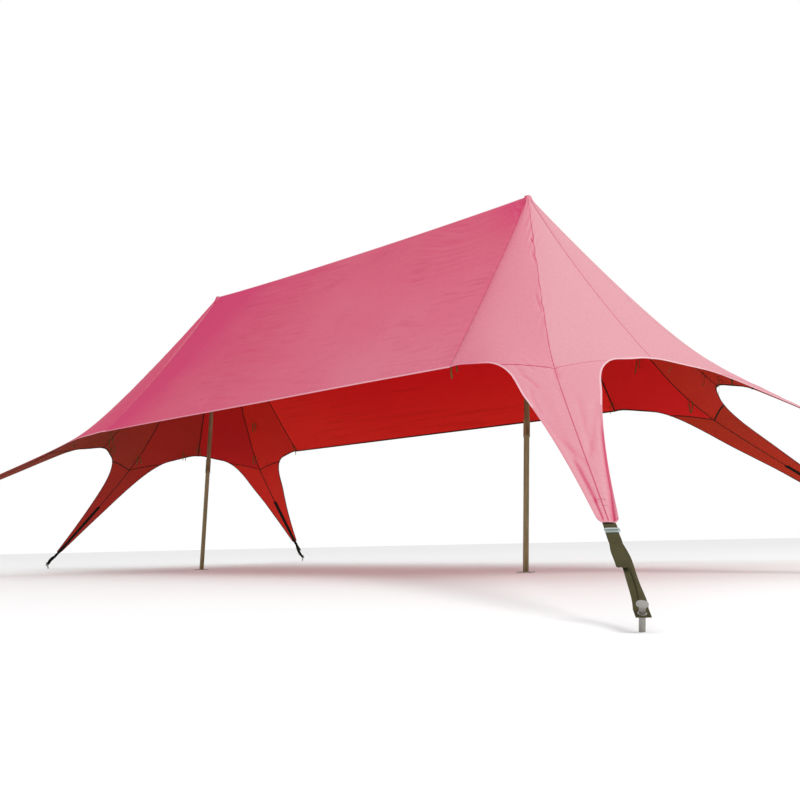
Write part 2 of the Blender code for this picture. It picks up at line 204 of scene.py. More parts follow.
# Single folds of a leg, each as depth, half width and its points along and across the leg
folds = [
    (0.0056, 0.018, ((4.60, -0.092), (4.83, -0.074), (4.96, -0.064), (5.14, -0.046), (5.27, -0.036))),
    (0.0155, 0.017, ((3.80, 0.228), (4.42, 0.152), (4.72, 0.118), (4.99, 0.090), (5.16, 0.074),
                     (5.29, 0.057), (5.49, 0.031))),
    (0.0038, 0.009, ((5.22, -0.040), (5.40, -0.033), (5.50, -0.030))),
    (0.0030, 0.009, ((5.26, 0.015), (5.44, 0.020))),
    (0.0060, 0.020, ((2.46, -0.37), (2.78, -0.284), (3.08, -0.199))),
    (0.0050, 0.016, ((3.00, -0.254), (3.38, -0.254), (3.73, -0.217))),
    (0.0030, 0.020, ((3.09, -0.031), (3.53, -0.020))),
    (0.0100, 0.020, ((2.56, -0.008), (2.88, -0.007))),
    (0.0040, 0.010, ((0.45, -0.007), (0.60, -0.008))),
    (0.0060, 0.010, ((0.62, -0.043), (0.75, -0.007))),
    (0.0060, 0.010, ((0.82, -0.041), (0.98, -0.020))),
    (0.0060, 0.010, ((1.36, 0.007), (1.50, 0.004))),
    (0.0040, 0.010, ((1.38, 0.069), (1.51, 0.066))),
    (0.0070, 0.010, ((1.38, -0.060), (1.54, -0.044), (1.63, -0.021))),
    (0.0045, 0.028, ((3.45, 0.25), (4.15, 0.12), (4.60, 0.03))),
    (0.0045, 0.024, ((3.70, -0.22), (4.30, -0.14), (4.75, -0.02))),
    (0.0040, 0.020, ((3.30, 0.10), (3.90, 0.08), (4.50, 0.05))),
]


def halfWidth(u, kind):
    # Half width of a leg grows with the square of the distance from its tip
    rest = kind["tip"][0] - u
    return shape["tipHalf"] + shape["legTaper"] * rest + shape["legFlare"] * rest ** 2


def toLeg(leg, x, y):
    # Distances along and across a leg, from its mast head
    turn = math.radians(leg["angle"])
    dx = x - leg["mast"] * shape["halfSpacing"]
    return dx * math.cos(turn) + y * math.sin(turn), y * math.cos(turn) - dx * math.sin(turn)


def fromLeg(leg, u, v):
    # Plan x and y from distances along and across a leg
    turn = math.radians(leg["angle"])
    x = leg["mast"] * shape["halfSpacing"] + u * math.cos(turn) - v * math.sin(turn)
    return x, u * math.sin(turn) + v * math.cos(turn)


def legPoints(leg, u, v):
    return np.stack(fromLeg(leg, u, v), -1)


def foldBell(u, v, line, width):
    # A bell over the distance from a line of points, where distance past its ends counts less,
    # and which swells to its full height over the line's first third
    nearest = np.full(u.shape, 9.0)
    for (u0, v0), (u1, v1) in zip(line, line[1:]):
        du, dv = u1 - u0, v1 - v0
        share = np.clip(((u - u0) * du + (v - v0) * dv) / (du ** 2 + dv ** 2), 0, 1)
        along = (u - u0 - share * du) / crease["foldStretch"]
        nearest = np.minimum(nearest, np.hypot(along, v - v0 - share * dv))
    start, finish = line[0][0], line[-1][0]
    return bell(nearest, width) * smoothStep(3 * (u - start) / (finish - start) + 0.2)


def legCreases(x, y):
    # The single folds of every leg, each leg with its own drift, then fine folds that fan out
    # from the arch corners, ripples down the lower leg and a zigzag along its upper seam. The
    # second result is how deep in a fold a point lies, about 1 in the deepest, used as painted shade in the
    # folds.
    total, foldShade = np.zeros((2, *np.broadcast(x, y).shape))
    slide, shift, vary = crease["drift"]
    for count, leg in enumerate(legs.values()):
        u, v = toLeg(leg, x, y)
        tipU = leg["kind"]["tip"][0]
        mask = (u > 0.1) & (u < tipU + 0.05) & (np.abs(v) < 1.2)
        here, beside = u[mask], v[mask] * leg["foldWay"]
        found, inside = np.zeros((2, *here.shape))
        for number, (depth, width, line) in enumerate(folds):
            own = np.random.default_rng(100 * count + number).uniform(-1, 1, 3) * (count > 0)
            past = (line[0][0] > 2) * (tipU - corner["tip"][0])
            moved = np.array(line) + (past + slide * own[0], shift * own[1])
            near, deep = foldBell(here, beside, moved, width), depth * (1 + vary * own[2])
            found -= deep * near
            # painted shade: how deep a point lies in a fold darkens its colour
            inside = np.maximum(inside, near * (deep / crease["foldShadeDepth"]) ** crease["foldShadePower"])
        half = halfWidth(np.clip(here, 2.3, tipU), leg["kind"])
        ripple = softNoise(here * 0.8 + count, beside / half * 3.2 + 7, 20 + count)
        found += crease["legRipple"] * rise(here, 2.8, 0.6) * ripple
        for way in (-1, 1):
            du, dv = here - crease["neckCorner"][0], way * beside - crease["neckCorner"][1]
            slant = (du * 0.45 + dv * 0.89) / crease["neckPitch"]
            near = bell(np.hypot(du, dv), crease["neckReach"]) * rise(here, 1.8, 0.5)
            near = near * np.clip(softNoise(here * 4 + count, beside * 4 + 20, 8) + 0.3, 0, 1)
            wave = 2 * math.pi * slant + 2 * softNoise(here * 3, beside * 3, 7)
            found += crease["neckFold"] * near * np.sin(wave)
        onSeam = bell(beside, crease["zigzagReach"]) * rise(here, 0.12, 0.3) * rise(here, 2.6, -0.2)
        onSeam = onSeam * np.clip(softNoise(here * 1.7 + 3, 0 * here, 50 + count) + 0.35, 0, 1)
        swing = here / crease["zigzagPitch"] + 0.9 * beside / 0.07
        swing = swing + 0.8 * softNoise(here * 2.3, 0 * here, 40 + count)
        found += crease["zigzag"] * onSeam * np.sin(2 * math.pi * swing)
        total[mask] += found
        foldShade[mask] = np.maximum(foldShade[mask], inside)
    return total, foldShade


def seamWander(u, count):
    # How far a leg's upper seam strays sideways, most where the cloth beside it is tucked
    tucked = bell(u - 0.75, 0.30) + bell(u - 1.5, 0.20)
    return (0.0015 + 0.009 * tucked) * softNoise(u * 11, 0 * u + count, 31) * rise(u, 2.5, -0.3)


def seamPuckers(x, y):
    # Small waves along the straight seams, fading within a hand's width on both sides
    px, py = fromHead(x, y)[:2]
    quarter = 1.7 * (x > 0) + 2.9 * (y > 0)
    total = np.zeros(np.shape(x))
    for turn in (valleySeam["span"], ridgeTurn):
        way = math.radians(turn)
        along = px * math.cos(way) + py * math.sin(way)
        away = np.abs(py * math.cos(way) - px * math.sin(way))
        fade = np.exp(-away / crease["puckerReach"]) * rise(along, 0, 0.4) * rise(along, 2.2, -0.1)
        wave = along / crease["puckerPitch"] + 0.9 * softNoise(along * 4, quarter, 9)
        total += crease["pucker"] * fade * np.sin(2 * math.pi * wave + quarter)
    return total


def creases(x, y):
    # Long ripples that follow the ridge on the long panels, radial folds below the mast
    # heads, seam puckers and leg folds, as one height to add
    px, py, radius, turn = fromHead(x, y)
    onRidge, turn = rise(turn, 84, 8), np.radians(turn)
    drift = 0.35 * softNoise(x * 0.8, y * 0.8, 3)
    ripple = softNoise(x / crease["rippleLength"] + 5, (py * 1.6 + drift) / crease["rippleWidth"], 1)
    patch = np.clip(softNoise(x * 0.9 + 9, y * 1.6, 2) + 0.45, 0, 1)
    swell = softNoise(x * 0.55 + 2, y * 0.9 + 7, 4) * rise(radius, 0, 0.6)
    fan = np.sin(crease["fanFolds"] * turn + 3 * softNoise(radius * 5, turn * 2, 6))
    fan = fan * bell(radius, crease["fanReach"]) * rise(radius, 0.048, 0.08) * (1 + 1.5 * onRidge)
    inPanel = onRidge * rise(py, 2.07, -0.15) * rise(py, 0, 0.10)
    return (crease["ripple"] * ripple * patch * inPanel + crease["swell"] * swell * (0.3 + 0.7 * inPanel)
            + crease["fan"] * fan + seamPuckers(x, y) + legCreases(x, y)[0])


def onCanopy(x, y, lift=0.0):
    # A point over the plan, lifted along the smooth surface's own normal
    x, y = np.broadcast_arrays(np.asarray(x, float), np.asarray(y, float))
    across, along = slopes(x, y, 0.004)
    normal = unit(np.stack([-across, -along, np.ones_like(x)], -1))
    return np.stack([x, y, tautHeight(x, y) + creases(x, y)], -1) + np.asarray(lift)[..., None] * normal


# Outline of the cut, in the plan of one leg

def archEdge(seam, angles):
    away = seam["span"] - angles
    rising = shape["archRise"] * (np.hypot(away, shape["archRound"]) - shape["archRound"])
    return polar(seam["radius"] + rising, np.radians(angles))


def legEdge(kind, seam):
    # Arch from the side seam, a cubic round the knee, then the leg's edge out to the tip,
    # given as the part above the neck seam and the part below
    steps, kneeU, tipU = shape["edgeSteps"], shape["kneeStart"], kind["tip"][0]
    arch = archEdge(seam, np.linspace(seam["span"], shape["archEnd"], steps))
    start, before = archEdge(seam, np.array([shape["archEnd"], shape["archEnd"] + 0.1]))
    finish = np.array([kneeU, halfWidth(kneeU, kind)])
    reach = np.linalg.norm(finish - start)
    narrowing = shape["legTaper"] + 2 * shape["legFlare"] * (tipU - kneeU)
    startWay, finishWay = reach * unit(start - before), reach * unit(np.array([1, -narrowing]))
    t = np.linspace(0, 1, steps)[1:-1, None]
    knee = ((2 * t ** 3 - 3 * t ** 2 + 1) * start + (t ** 3 - 2 * t ** 2 + t) * startWay
            + (3 * t ** 2 - 2 * t ** 3) * finish + (t ** 3 - t ** 2) * finishWay)
    along = np.linspace(kneeU, tipU, steps)
    edge = np.concatenate([arch, knee, np.stack([along, halfWidth(along, kind)], -1)])
    nearest = int(np.argmin(np.hypot(*(edge - shape["neckSide"]).T)))
    return edge[:nearest + 1], edge[nearest:]


def seamOn(leg, side):
    return ridgeSeam if side == leg["ridgeSide"] else valleySeam


def spread(line, share):
    # Points at the given shares of a line's length
    steps = runLength(line)
    return np.stack([np.interp(share, steps / steps[-1], column) for column in line.T], -1)


def cutBack(u, share, kind):
    # Rounds the corners of a leg's tip, where share is 1 on the leg's edge
    near = rise(u, shape["neckSide"][0], kind["tip"][0] - shape["neckSide"][0])
    return u - weaveGrid["cornerCut"] * np.abs(share) ** 4 * near ** 30


# Meshes from grids

def newObject(name, data):
    made = bpy.data.objects.new(name, data)
    bpy.context.scene.collection.objects.link(made)
    return made


def uvGrid(around, along):
    return np.stack(np.meshgrid(around, along), -1)


def gridMesh(name, grids, materials, merge, sharp=None):
    # Grids of points become one mesh. A grid may close on itself across its columns, and
    # its faces carry UVs in metres, a painted shade and a painted glow of light through the cloth
    # for each point and a material for each face. Points closer than merge are joined. Where sharp
    # is given, the faces of these closed shells are turned outwards, and edges past that many degrees stay
    # sharp.
    parts = {"points": [], "faces": [], "uv": [], "shade": [], "glow": [], "pick": []}
    base = 0
    for grid in grids:
        place, uv = grid["points"], grid["uv"]
        rows, columns = place.shape[:2]
        i, j = np.indices((rows - 1, columns if grid.get("closed") else columns - 1))
        after = (j + 1) % columns
        quad = np.stack([i * columns + j, i * columns + after, (i + 1) * columns + after,
                         (i + 1) * columns + j], -1)
        quadUv = np.stack([uv[i, j], uv[i, j + 1], uv[i + 1, j + 1], uv[i + 1, j]], -2)
        if grid.get("flip"):
            quad, quadUv = quad[..., ::-1], quadUv[..., ::-1, :]
        parts["points"].append(place.reshape(-1, 3))
        parts["faces"].append(quad.reshape(-1, 4) + base)
        parts["uv"].append(quadUv.ravel())
        for key, plain, size in (("shade", 0.0, (rows, columns)), ("glow", 0.5, (rows, columns)),
                                 ("pick", 0, i.shape)):
            parts[key].append(np.broadcast_to(grid.get(key, plain), size).ravel())
        base += rows * columns
    parts = {key: np.concatenate(found) for key, found in parts.items()}
    mesh = bpy.data.meshes.new(name)
    mesh.from_pydata(parts["points"].tolist(), [], parts["faces"].tolist())
    mesh.uv_layers.new(name="cloth").data.foreach_set("uv", parts["uv"].astype(np.float32))
    for key in ("shade", "glow"):
        mesh.attributes.new(key, "FLOAT", "POINT").data.foreach_set("value", parts[key].astype(np.float32))
    mesh.polygons.foreach_set("material_index", parts["pick"].astype(np.int32))
    for material in materials:
        mesh.materials.append(material)
    work = bmesh.new()
    work.from_mesh(mesh)
    bmesh.ops.remove_doubles(work, verts=work.verts, dist=merge)
    if sharp:
        bmesh.ops.recalc_face_normals(work, faces=work.faces)
    work.to_mesh(mesh)
    work.free()
    mesh.shade_smooth()
    if sharp:
        mesh.set_sharp_from_angle(angle=math.radians(sharp))
    piece = newObject(name, mesh)
    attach(piece, "root")
    return piece


def capped(grid):
    # Two flat ends for a closed tube, as grids that fold its first and last ring in half
    place, uv = grid["points"], grid["uv"]
    half = place.shape[1] // 2
    return [grid] + [{"points": np.stack([place[row, :half], place[row, ::-1][:half]]),
                      "uv": np.stack([uv[row, :half], uv[row, ::-1][:half]]), "flip": row < 0}
                     for row in (0, -1)]


def sweep(path, sideways, upward, profile):
    # A closed profile, given across and up, or one for each point, carried along a path in
    # its own two directions
    place = path[:, None] + profile[..., :1] * sideways[:, None] + profile[..., 1:] * upward[:, None]
    ring = profile.reshape(-1, *profile.shape[-2:])[0]
    return {"points": place, "uv": uvGrid(runLength(np.r_[ring, ring[:1]]), runLength(path)), "closed": True}


def squareTo(way, direction):
    # Unit vectors nearest to a direction and square to each row of ways
    return unit(np.broadcast_to(direction, way.shape) - (way @ direction)[:, None] * way)


def rotated(vector, axis, angle):
    # Rows of a vector field turned about rows of unit axes
    cos, sin = np.cos(angle)[:, None], np.sin(angle)[:, None]
    dot = (vector * axis).sum(1, keepdims=True)
    return vector * cos + np.cross(axis, vector) * sin + axis * dot * (1 - cos)


# Finishes

def node(tree, kind, links=None, **settings):
    made = tree.nodes.new("ShaderNode" + kind)
    for key, value in settings.items():
        setattr(made, key, value)
    for key, value in (links or {}).items():
        if isinstance(value, bpy.types.NodeSocket):
            tree.links.new(value, made.inputs[key])
        else:
            made.inputs[key].default_value = value
    return made


def newFinish(name, **constants):
    # A material with plain values on its shader, and the object's and the UV coordinates
    material = bpy.data.materials.new(name)
    material.use_nodes = True
    tree = material.node_tree
    for key, value in constants.items():
        tree.nodes["Principled BSDF"].inputs[key.replace("_", " ")].default_value = value
    coordinates = node(tree, "TexCoord").outputs
    return material, tree, coordinates["Object"], coordinates["UV"]


def connect(tree, **results):
    for key, value in results.items():
        tree.links.new(value, tree.nodes["Principled BSDF"].inputs[key.replace("_", " ")])


def calc(tree, operation, a, b=0.0, clamp=False):
    return node(tree, "Math", {0: a, 1: b}, operation=operation, use_clamp=clamp).outputs[0]


def noise(tree, vector, scale, detail, roughness=0.5):
    links = {"Vector": vector, "Scale": scale, "Detail": detail, "Roughness": roughness}
    return node(tree, "TexNoise", links).outputs["Fac"]


def waves(tree, vector, scale, direction, distortion=0.0):
    links = {"Vector": vector, "Scale": scale, "Distortion": distortion}
    return node(tree, "TexWave", links, bands_direction=direction).outputs["Fac"]


def stretched(tree, vector, scale):
    return node(tree, "Mapping", {"Vector": vector, "Scale": scale}).outputs[0]


def bump(tree, height, strength, distance, before=None):
    links = {"Height": height, "Strength": strength, "Distance": distance}
    if before is not None:
        links["Normal"] = before
    return node(tree, "Bump", links).outputs["Normal"]


def ramp(tree, factor, stops):
    made = node(tree, "ValToRGB", {"Fac": factor})
    elements = made.color_ramp.elements
    while len(elements) < len(stops):
        elements.new(0.5)
    for element, (place, colour) in zip(elements, stops):
        element.position = place
        element.color = (*colour, 1.0)
    return made.outputs["Color"]


def mixColour(tree, factor, a, b, blend="MIX"):
    a, b = (c if isinstance(c, bpy.types.NodeSocket) else (*c, 1.0) for c in (a, b))
    return node(tree, "Mix", {0: factor, 6: a, 7: b}, data_type="RGBA", blend_type=blend).outputs[2]


def weave(tree, uv, threads, depth, before=None):
    # Threads both ways, as two sine bands multiplied, raised as bump
    across, along = (waves(tree, uv, threads, direction) for direction in "XY")
    return bump(tree, calc(tree, "MULTIPLY", across, along), 0.35, depth, before)


# Colours of the cloth and its hems under painted shade, from turned away to facing the bright side, and
# of its underside under painted light shining through it, from the left end over the middle to the right end
white = (1.0, 1.0, 1.0)
clothLook = {
    "outer": ((0.0, (0.536, 0.050, 0.134)), (0.10, (0.552, 0.094, 0.160)), (0.33, (0.594, 0.186, 0.250)),
              (0.65, (0.612, 0.242, 0.295)), (1.0, (0.604, 0.287, 0.325))),
    "inner": ((0.0, (0.26, 0.048, 0.025)), (0.3, (0.43, 0.017, 0.015)), (0.55, (0.75, 0.012, 0.014)),
              (0.65, (0.65, 0.015, 0.014)), (0.75, (0.60, 0.028, 0.015)), (1.0, (0.40, 0.033, 0.012))),
    "innerLong": ((0.0, (0.75, 0.012, 0.014)), (1.0, (0.82, 0.029, 0.020))),
    "hem": ((0.0, (0.60, 0.150, 0.235)), (0.2, (0.66, 0.290, 0.350)), (0.5, (0.70, 0.410, 0.455)),
            (1.0, (0.72, 0.450, 0.490))),
    # Painted shade of fine wrinkles: in patches, dark streaks along the ridge, outside and underside
    "outerWrinkleShading": {"share": 3.3, "run": (3.0, 21.0, 21.0), "dark": (0.93, 0.83, 0.89)},
    "innerWrinkleShading": {"share": 4.0, "run": (0.6, 19.0, 19.0), "dark": (0.87, 0.80, 0.80)},
    "threads": 227.15698, "wrinkleDepth": 0.005, "wrinkleRun": (1.6, 9.0, 9.0), "speck": 38.0,
}


def clothFinish(name, attribute, look, cloudScale, cloudShare, roughness, wrinkleShading=None):
    # Colour from a ramp over the named attribute, which holds painted shade or painted light through
    # the cloth, clouded, with a fine speckle and, in patches, painted shade of dark wrinkles along the
    # ridge, then fine wrinkles that run the same way, under the weave
    material, tree, place, uv = newFinish(name, Roughness=roughness, Specular_IOR_Level=0.03)
    value = node(tree, "Attribute", attribute_name=attribute).outputs["Fac"]
    cloud = calc(tree, "SUBTRACT", noise(tree, place, cloudScale, 4.0), 0.5)
    shade = calc(tree, "ADD", value, calc(tree, "MULTIPLY", cloud, cloudShare), True)
    colour = ramp(tree, shade, clothLook[look])
    if wrinkleShading:
        # painted shade: dark streaks of wrinkles darken the colour in patches
        wrinkleNoise = noise(tree, stretched(tree, place, wrinkleShading["run"]), 1.0, 3.0)
        patches = calc(tree, "SUBTRACT", noise(tree, place, 1.1, 1.0), 0.40)
        dark = ramp(tree, wrinkleNoise, [(0.36, wrinkleShading["dark"]), (0.47, white)])
        colour = mixColour(tree, calc(tree, "MULTIPLY", patches, wrinkleShading["share"], True), colour,
                           mixColour(tree, 1.0, colour, dark, "MULTIPLY"))
    tint = ramp(tree, noise(tree, place, clothLook["speck"], 3.0), [(0.3, (0.92, 0.92, 0.92)), (0.7, white)])
    wrinkles = noise(tree, stretched(tree, place, clothLook["wrinkleRun"]), 2.2, 5.0, 0.55)
    soft = bump(tree, wrinkles, 0.5, clothLook["wrinkleDepth"])
    connect(tree, Base_Color=mixColour(tree, 1.0, colour, tint, "MULTIPLY"),
            Normal=weave(tree, uv, clothLook["threads"], 0.0002, soft))
    return material


tapeLook = {"speck": 60.0, "threads": 277.63631, "stitches": 110.0, "rowApart": 0.004, "rowWide": 0.0008,
            "thread": (0.9, 0.75, 0.75)}


def tapeFinish(name, colour, dark, stitch=0.0):
    # A woven tape in UV metres: across is U, along is V, with rows of stitches
    material, tree, place, uv = newFinish(name, Roughness=0.7, Specular_IOR_Level=0.04)
    base = mixColour(tree, noise(tree, uv, tapeLook["speck"], 3.0), dark, colour)
    parts = node(tree, "SeparateXYZ", {"Vector": uv}).outputs
    dash = calc(tree, "FRACT", calc(tree, "MULTIPLY", parts["Y"], tapeLook["stitches"]))
    beside = calc(tree, "PINGPONG", parts["X"], tapeLook["rowApart"])
    thread = calc(tree, "MULTIPLY", calc(tree, "GREATER_THAN", dash, 0.4),
                  calc(tree, "LESS_THAN", beside, tapeLook["rowWide"]))
    sewn = mixColour(tree, calc(tree, "MULTIPLY", thread, stitch), base, tapeLook["thread"])
    raised = bump(tree, thread, 0.4, 0.0006)
    connect(tree, Base_Color=sewn, Normal=weave(tree, uv, tapeLook["threads"], 0.0002, raised))
    return material


webbingLook = {"wear": 9.0, "speck": 250.0, "fold": 0.026, "creaseShadeHalf": 0.0034, "creaseShadeFrom": 0.57,
               "ribs": 90.0, "lines": 130.0}


def webbingFinish(name, colour, dark):
    # Ribbed webbing: fine ribs across the run, worn patches and, on long straps, painted shade as a dark line
    # along the lengthwise fold
    material, tree, place, uv = newFinish(name, Roughness=0.85, Specular_IOR_Level=0.05)
    base = mixColour(tree, noise(tree, place, webbingLook["wear"], 5.0), dark, colour)
    speck = calc(tree, "MULTIPLY", noise(tree, uv, webbingLook["speck"], 2.0), 0.35)
    parts = node(tree, "SeparateXYZ", {"Vector": uv}).outputs
    # painted shade along the strap's lengthwise fold
    beside = calc(tree, "ABSOLUTE", calc(tree, "SUBTRACT", parts["X"], webbingLook["fold"]))
    folded = calc(tree, "MULTIPLY", calc(tree, "LESS_THAN", beside, webbingLook["creaseShadeHalf"]),
                  calc(tree, "GREATER_THAN", parts["Y"], webbingLook["creaseShadeFrom"]))
    base = mixColour(tree, calc(tree, "MULTIPLY", folded, 0.75), mixColour(tree, speck, base, dark),
                     tuple(0.35 * c for c in dark))
    height = calc(tree, "MULTIPLY", waves(tree, uv, webbingLook["ribs"], "Y", 0.6),
                  waves(tree, uv, webbingLook["lines"], "X"))
    connect(tree, Base_Color=base, Normal=bump(tree, height, 0.6, 0.0006))
    return material


def mastFinish():
    # Olive brown paint, streaked along the tube, with scuffs and thin scratches
    material, tree, place, uv = newFinish("olive_paint", Metallic=0.25)
    runs = noise(tree, stretched(tree, place, (14.0, 14.0, 0.8)), 3.0, 6.0)
    scuff = noise(tree, place, 7.0, 8.0, 0.7)
    paint = ramp(tree, runs, [(0.3, (0.15, 0.115, 0.050)), (0.55, (0.23, 0.185, 0.085)),
                              (0.8, (0.31, 0.26, 0.14))])
    bare = calc(tree, "MULTIPLY", calc(tree, "GREATER_THAN", scuff, 0.66), 0.5)
    connect(tree, Base_Color=mixColour(tree, bare, paint, (0.33, 0.29, 0.22)),
            Roughness=calc(tree, "ADD", calc(tree, "MULTIPLY", runs, 0.25), 0.33),
            Normal=bump(tree, scuff, 0.15, 0.001))
    return material


def steelFinish(name, colour, rough, grime):
    # Steel with clouds of grime and a fine uneven gloss
    material, tree, place, uv = newFinish(name, Metallic=1.0)
    cloud = calc(tree, "MULTIPLY", noise(tree, place, 16.0, 6.0), grime)
    fine = noise(tree, place, 160.0, 3.0)
    connect(tree, Base_Color=mixColour(tree, cloud, colour, tuple(0.45 * c for c in colour)),
            Roughness=calc(tree, "ADD", calc(tree, "MULTIPLY", fine, 0.3), rough),
            Normal=bump(tree, fine, 0.1, 0.0005))
    return material


# The pink cloth and hems take painted shade from the shade attribute, the undersides take painted light
# through the cloth from the glow attribute
pinkCloth = clothFinish("pink_cloth", "shade", "outer", 0.9, 0.12, 0.62)
longCloth = clothFinish("pink_long_cloth", "shade", "outer", 0.9, 0.12, 0.62, clothLook["outerWrinkleShading"])
redUnderside = clothFinish("red_underside", "glow", "inner", 1.1, 0.10, 0.75)
longUnderside = clothFinish("red_long_underside", "glow", "innerLong", 1.1, 0.4, 0.75,
                            clothLook["innerWrinkleShading"])
hemCloth = clothFinish("hem_pink", "shade", "hem", 0.9, 0.05, 0.62)
hemInside = tapeFinish("hem_inside", (0.070, 0.018, 0.010), (0.040, 0.011, 0.006))
seamOutside = tapeFinish("seam_outside", (0.52, 0.095, 0.17), (0.40, 0.055, 0.11), 0.1)
seamInside = tapeFinish("seam_inside", (0.052, 0.016, 0.009), (0.030, 0.010, 0.006))
darkThread = tapeFinish("dark_thread", (0.26, 0.040, 0.070), (0.16, 0.025, 0.045))
oliveWebbing = webbingFinish("olive_webbing", (0.084, 0.073, 0.033), (0.043, 0.038, 0.018))
# Webbing in painted shade: real webbing under the legs and under the straps, made near black where it lies in
# shade
webbingInShade = webbingFinish("webbing_in_painted_shade", (0.008, 0.008, 0.005), (0.004, 0.004, 0.003))
tieTape = webbingFinish("tie_tape", (0.19, 0.150, 0.045), (0.10, 0.080, 0.026))
olivePaint = mastFinish()
brightSteel = steelFinish("bright_steel", (0.42, 0.50, 0.50), 0.22, 0.3)
dullSteel = steelFinish("dull_steel", (0.42, 0.40, 0.37), 0.40, 0.7)
print("finishes made")


# Canopy cloth, in three sheets that share their edge points at the seams beside the ridge

# Rows and columns of the cloth's grids, their grading, the rounding of the tips' corners, the merge
# distance and the stretch of the weave along the legs
weaveGrid = {"goreRows": 96, "grading": 1.15, "neck": 20, "arch": 20, "legRows": 132, "ridgeColumns": 216,
             "cornerCut": 0.040, "merge": 0.0002, "stretch": 1.6}
# Painted shade, baked into the cloth's colour: 0 is turned away from the bright side, 1 faces it.
# Three numbers are the start, length and strength of a rise, two are the reach and strength round a head.
shading = {"sun": np.array([0.80, -0.12, 0.59]), "facing": (0.40, 0.52, 1.0), "evened": 0.55,
           "left": (0.3, -3.6, 0.12), "right": (0.0, 2.0, 1.0), "sides": (0.0, 2.0, 0.07),
           "heads": (0.4, 0.07), "leftEnd": 0.07, "folds": 0.62, "long": (-3.4, 1.4, 0.042),
           "longTop": (2.0, -2.0, 0.045), "longHeads": (1.2, 0.02)}
# Painted light shining through the underside, 0 at the left end, 1 at the right: beside the ridge
# panel, beside the end leg and on the leg itself
glows = {"near_right": (0.65, 0.80, 0.92), "right_end": (0.90, 0.96, 0.95), "far_right": (0.65, 0.82, 0.94),
         "near_left": (0.05, 0.04, 0.02), "left_end": (0.22, 0.13, 0.20), "far_left": (0.72, 0.36, 0.72)}
# Where the painted light through the long panels' underside turns warmer, as start, length and strength
longGlow = {"edge": (1.2, 0.9, 0.75), "left": (-0.8, -2.4, 0.8)}


def facing(points):
    # How far each point of a grid faces the bright side, the far side taken like the near one
    normal = np.cross(np.gradient(points, axis=0), np.gradient(points, axis=1))
    normal *= np.sign(normal[..., 2:]) / np.maximum(np.linalg.norm(normal, axis=-1, keepdims=True), 1e-12)
    normal[..., 1] *= np.where(points[..., 1] > 0, -1, 1)
    return normal @ shading["sun"]


def shadeAt(x, y, seen):
    # From how far the cloth faces the bright side to its painted shade, deeper at the left end, round
    # the heads, in folds and high on the long panels
    def rising(key, value):
        start, over, strength = shading[key]
        return strength * rise(value, start, over)

    py, radius, turn = fromHead(x, y)[1:]
    onLong = turn > ridgeTurn
    drop, longDrop = (shading[key][1] * bell(radius, shading[key][0]) for key in ("heads", "longHeads"))
    shade = rising("facing", seen) - rising("left", x) + rising("right", x) * rising("sides", py) - drop
    shade += onLong * (rising("long", x) - rising("longTop", py) - longDrop)
    shade = np.clip(shade, 0, 1) + shading["leftEnd"] * (x < -shape["halfSpacing"]) * (1 - onLong)
    return np.clip(shade - shading["folds"] * legCreases(x, y)[1], 0, 1)


def sunShade(points):
    # Painted shade from the facing: panels lean towards one shade each, while folds keep their full contrast
    x, y = points[..., 0], points[..., 1]
    smooth = facing(np.stack([x, y, tautHeight(x, y)], -1))
    return shadeAt(x, y, facing(points) - shading["evened"] * (smooth - np.median(smooth)))


def slopeShade(x, y):
    # The painted shade of bare points, from the slopes of the taut cloth
    across, along = slopes(x, y, 0.01)
    normal = np.stack([-across, np.where(y > 0, 1, -1) * along, np.ones_like(across)], -1)
    return shadeAt(x, y, unit(normal) @ shading["sun"])


def clothGrid(points, u, v, glow):
    # Faces look up, whichever way the rows and columns of the grid run
    row = points.shape[0] // 2
    flip = np.cross(points[row + 1, 1] - points[row, 1], points[row, 2] - points[row, 1])[2] > 0
    return {"points": points, "uv": np.stack([v, u * weaveGrid["stretch"]], -1), "shade": sunShade(points),
            "glow": glow, "flip": flip}


def goreGrid(legName, side):
    # Rays from the ring at the mast head to the neck seam and to the free edge
    leg = legs[legName]
    kind, seam = leg["kind"], seamOn(leg, side)
    upper = legEdge(kind, seam)[0]
    share = np.linspace(0, 1, weaveGrid["neck"] + 1)[:, None]
    neck = np.array([kind["neck"][0], 0.0]) * (1 - share) + upper[-1] * share
    arch = spread(upper[::-1], np.linspace(0, 1, weaveGrid["arch"] + 1))[1:]
    bottom = np.concatenate([neck, arch])
    angle = np.arctan2(bottom[:, 1], bottom[:, 0])
    angle[-1] = math.radians(seam["span"])
    down = np.linspace(0, 1, weaveGrid["goreRows"] + 1)[:, None] ** weaveGrid["grading"]
    radius = shape["ringRadius"] + down * (np.hypot(bottom[:, 0], bottom[:, 1]) - shape["ringRadius"])
    u, v = radius * np.cos(angle), side * radius * np.sin(angle)
    ridgeLike = side * leg["mast"] > 0 if leg["ridgeSide"] == 0 else side == leg["ridgeSide"]
    return clothGrid(onCanopy(*fromLeg(leg, u, v)), u, v, glows[legName][0 if ridgeLike else 1])


def legGrid(legName):
    # Rows across a leg from the neck seam to the tip, whose corners are cut round
    leg = legs[legName]
    kind = leg["kind"]
    neckU, tipU = kind["neck"][0], kind["tip"][0]
    row = np.linspace(0, 1, weaveGrid["legRows"] + 1)
    share = np.linspace(0, 1, weaveGrid["neck"] + 1)
    halves = []
    for side, part in ((-1, share[:0:-1]), (1, share)):
        edge = spread(legEdge(kind, seamOn(leg, side))[1], row)
        centre = neckU + (edge[:, :1] - edge[0, 0]) * (tipU - neckU) / (tipU - edge[0, 0])
        u = cutBack(centre * (1 - part) + edge[:, :1] * part, part, kind)
        halves.append((u, side * edge[:, 1:] * part))
    u, v = (np.concatenate(pair, 1) for pair in zip(*halves))
    return clothGrid(onCanopy(*fromLeg(leg, u, v)), u, v, glows[legName][2])


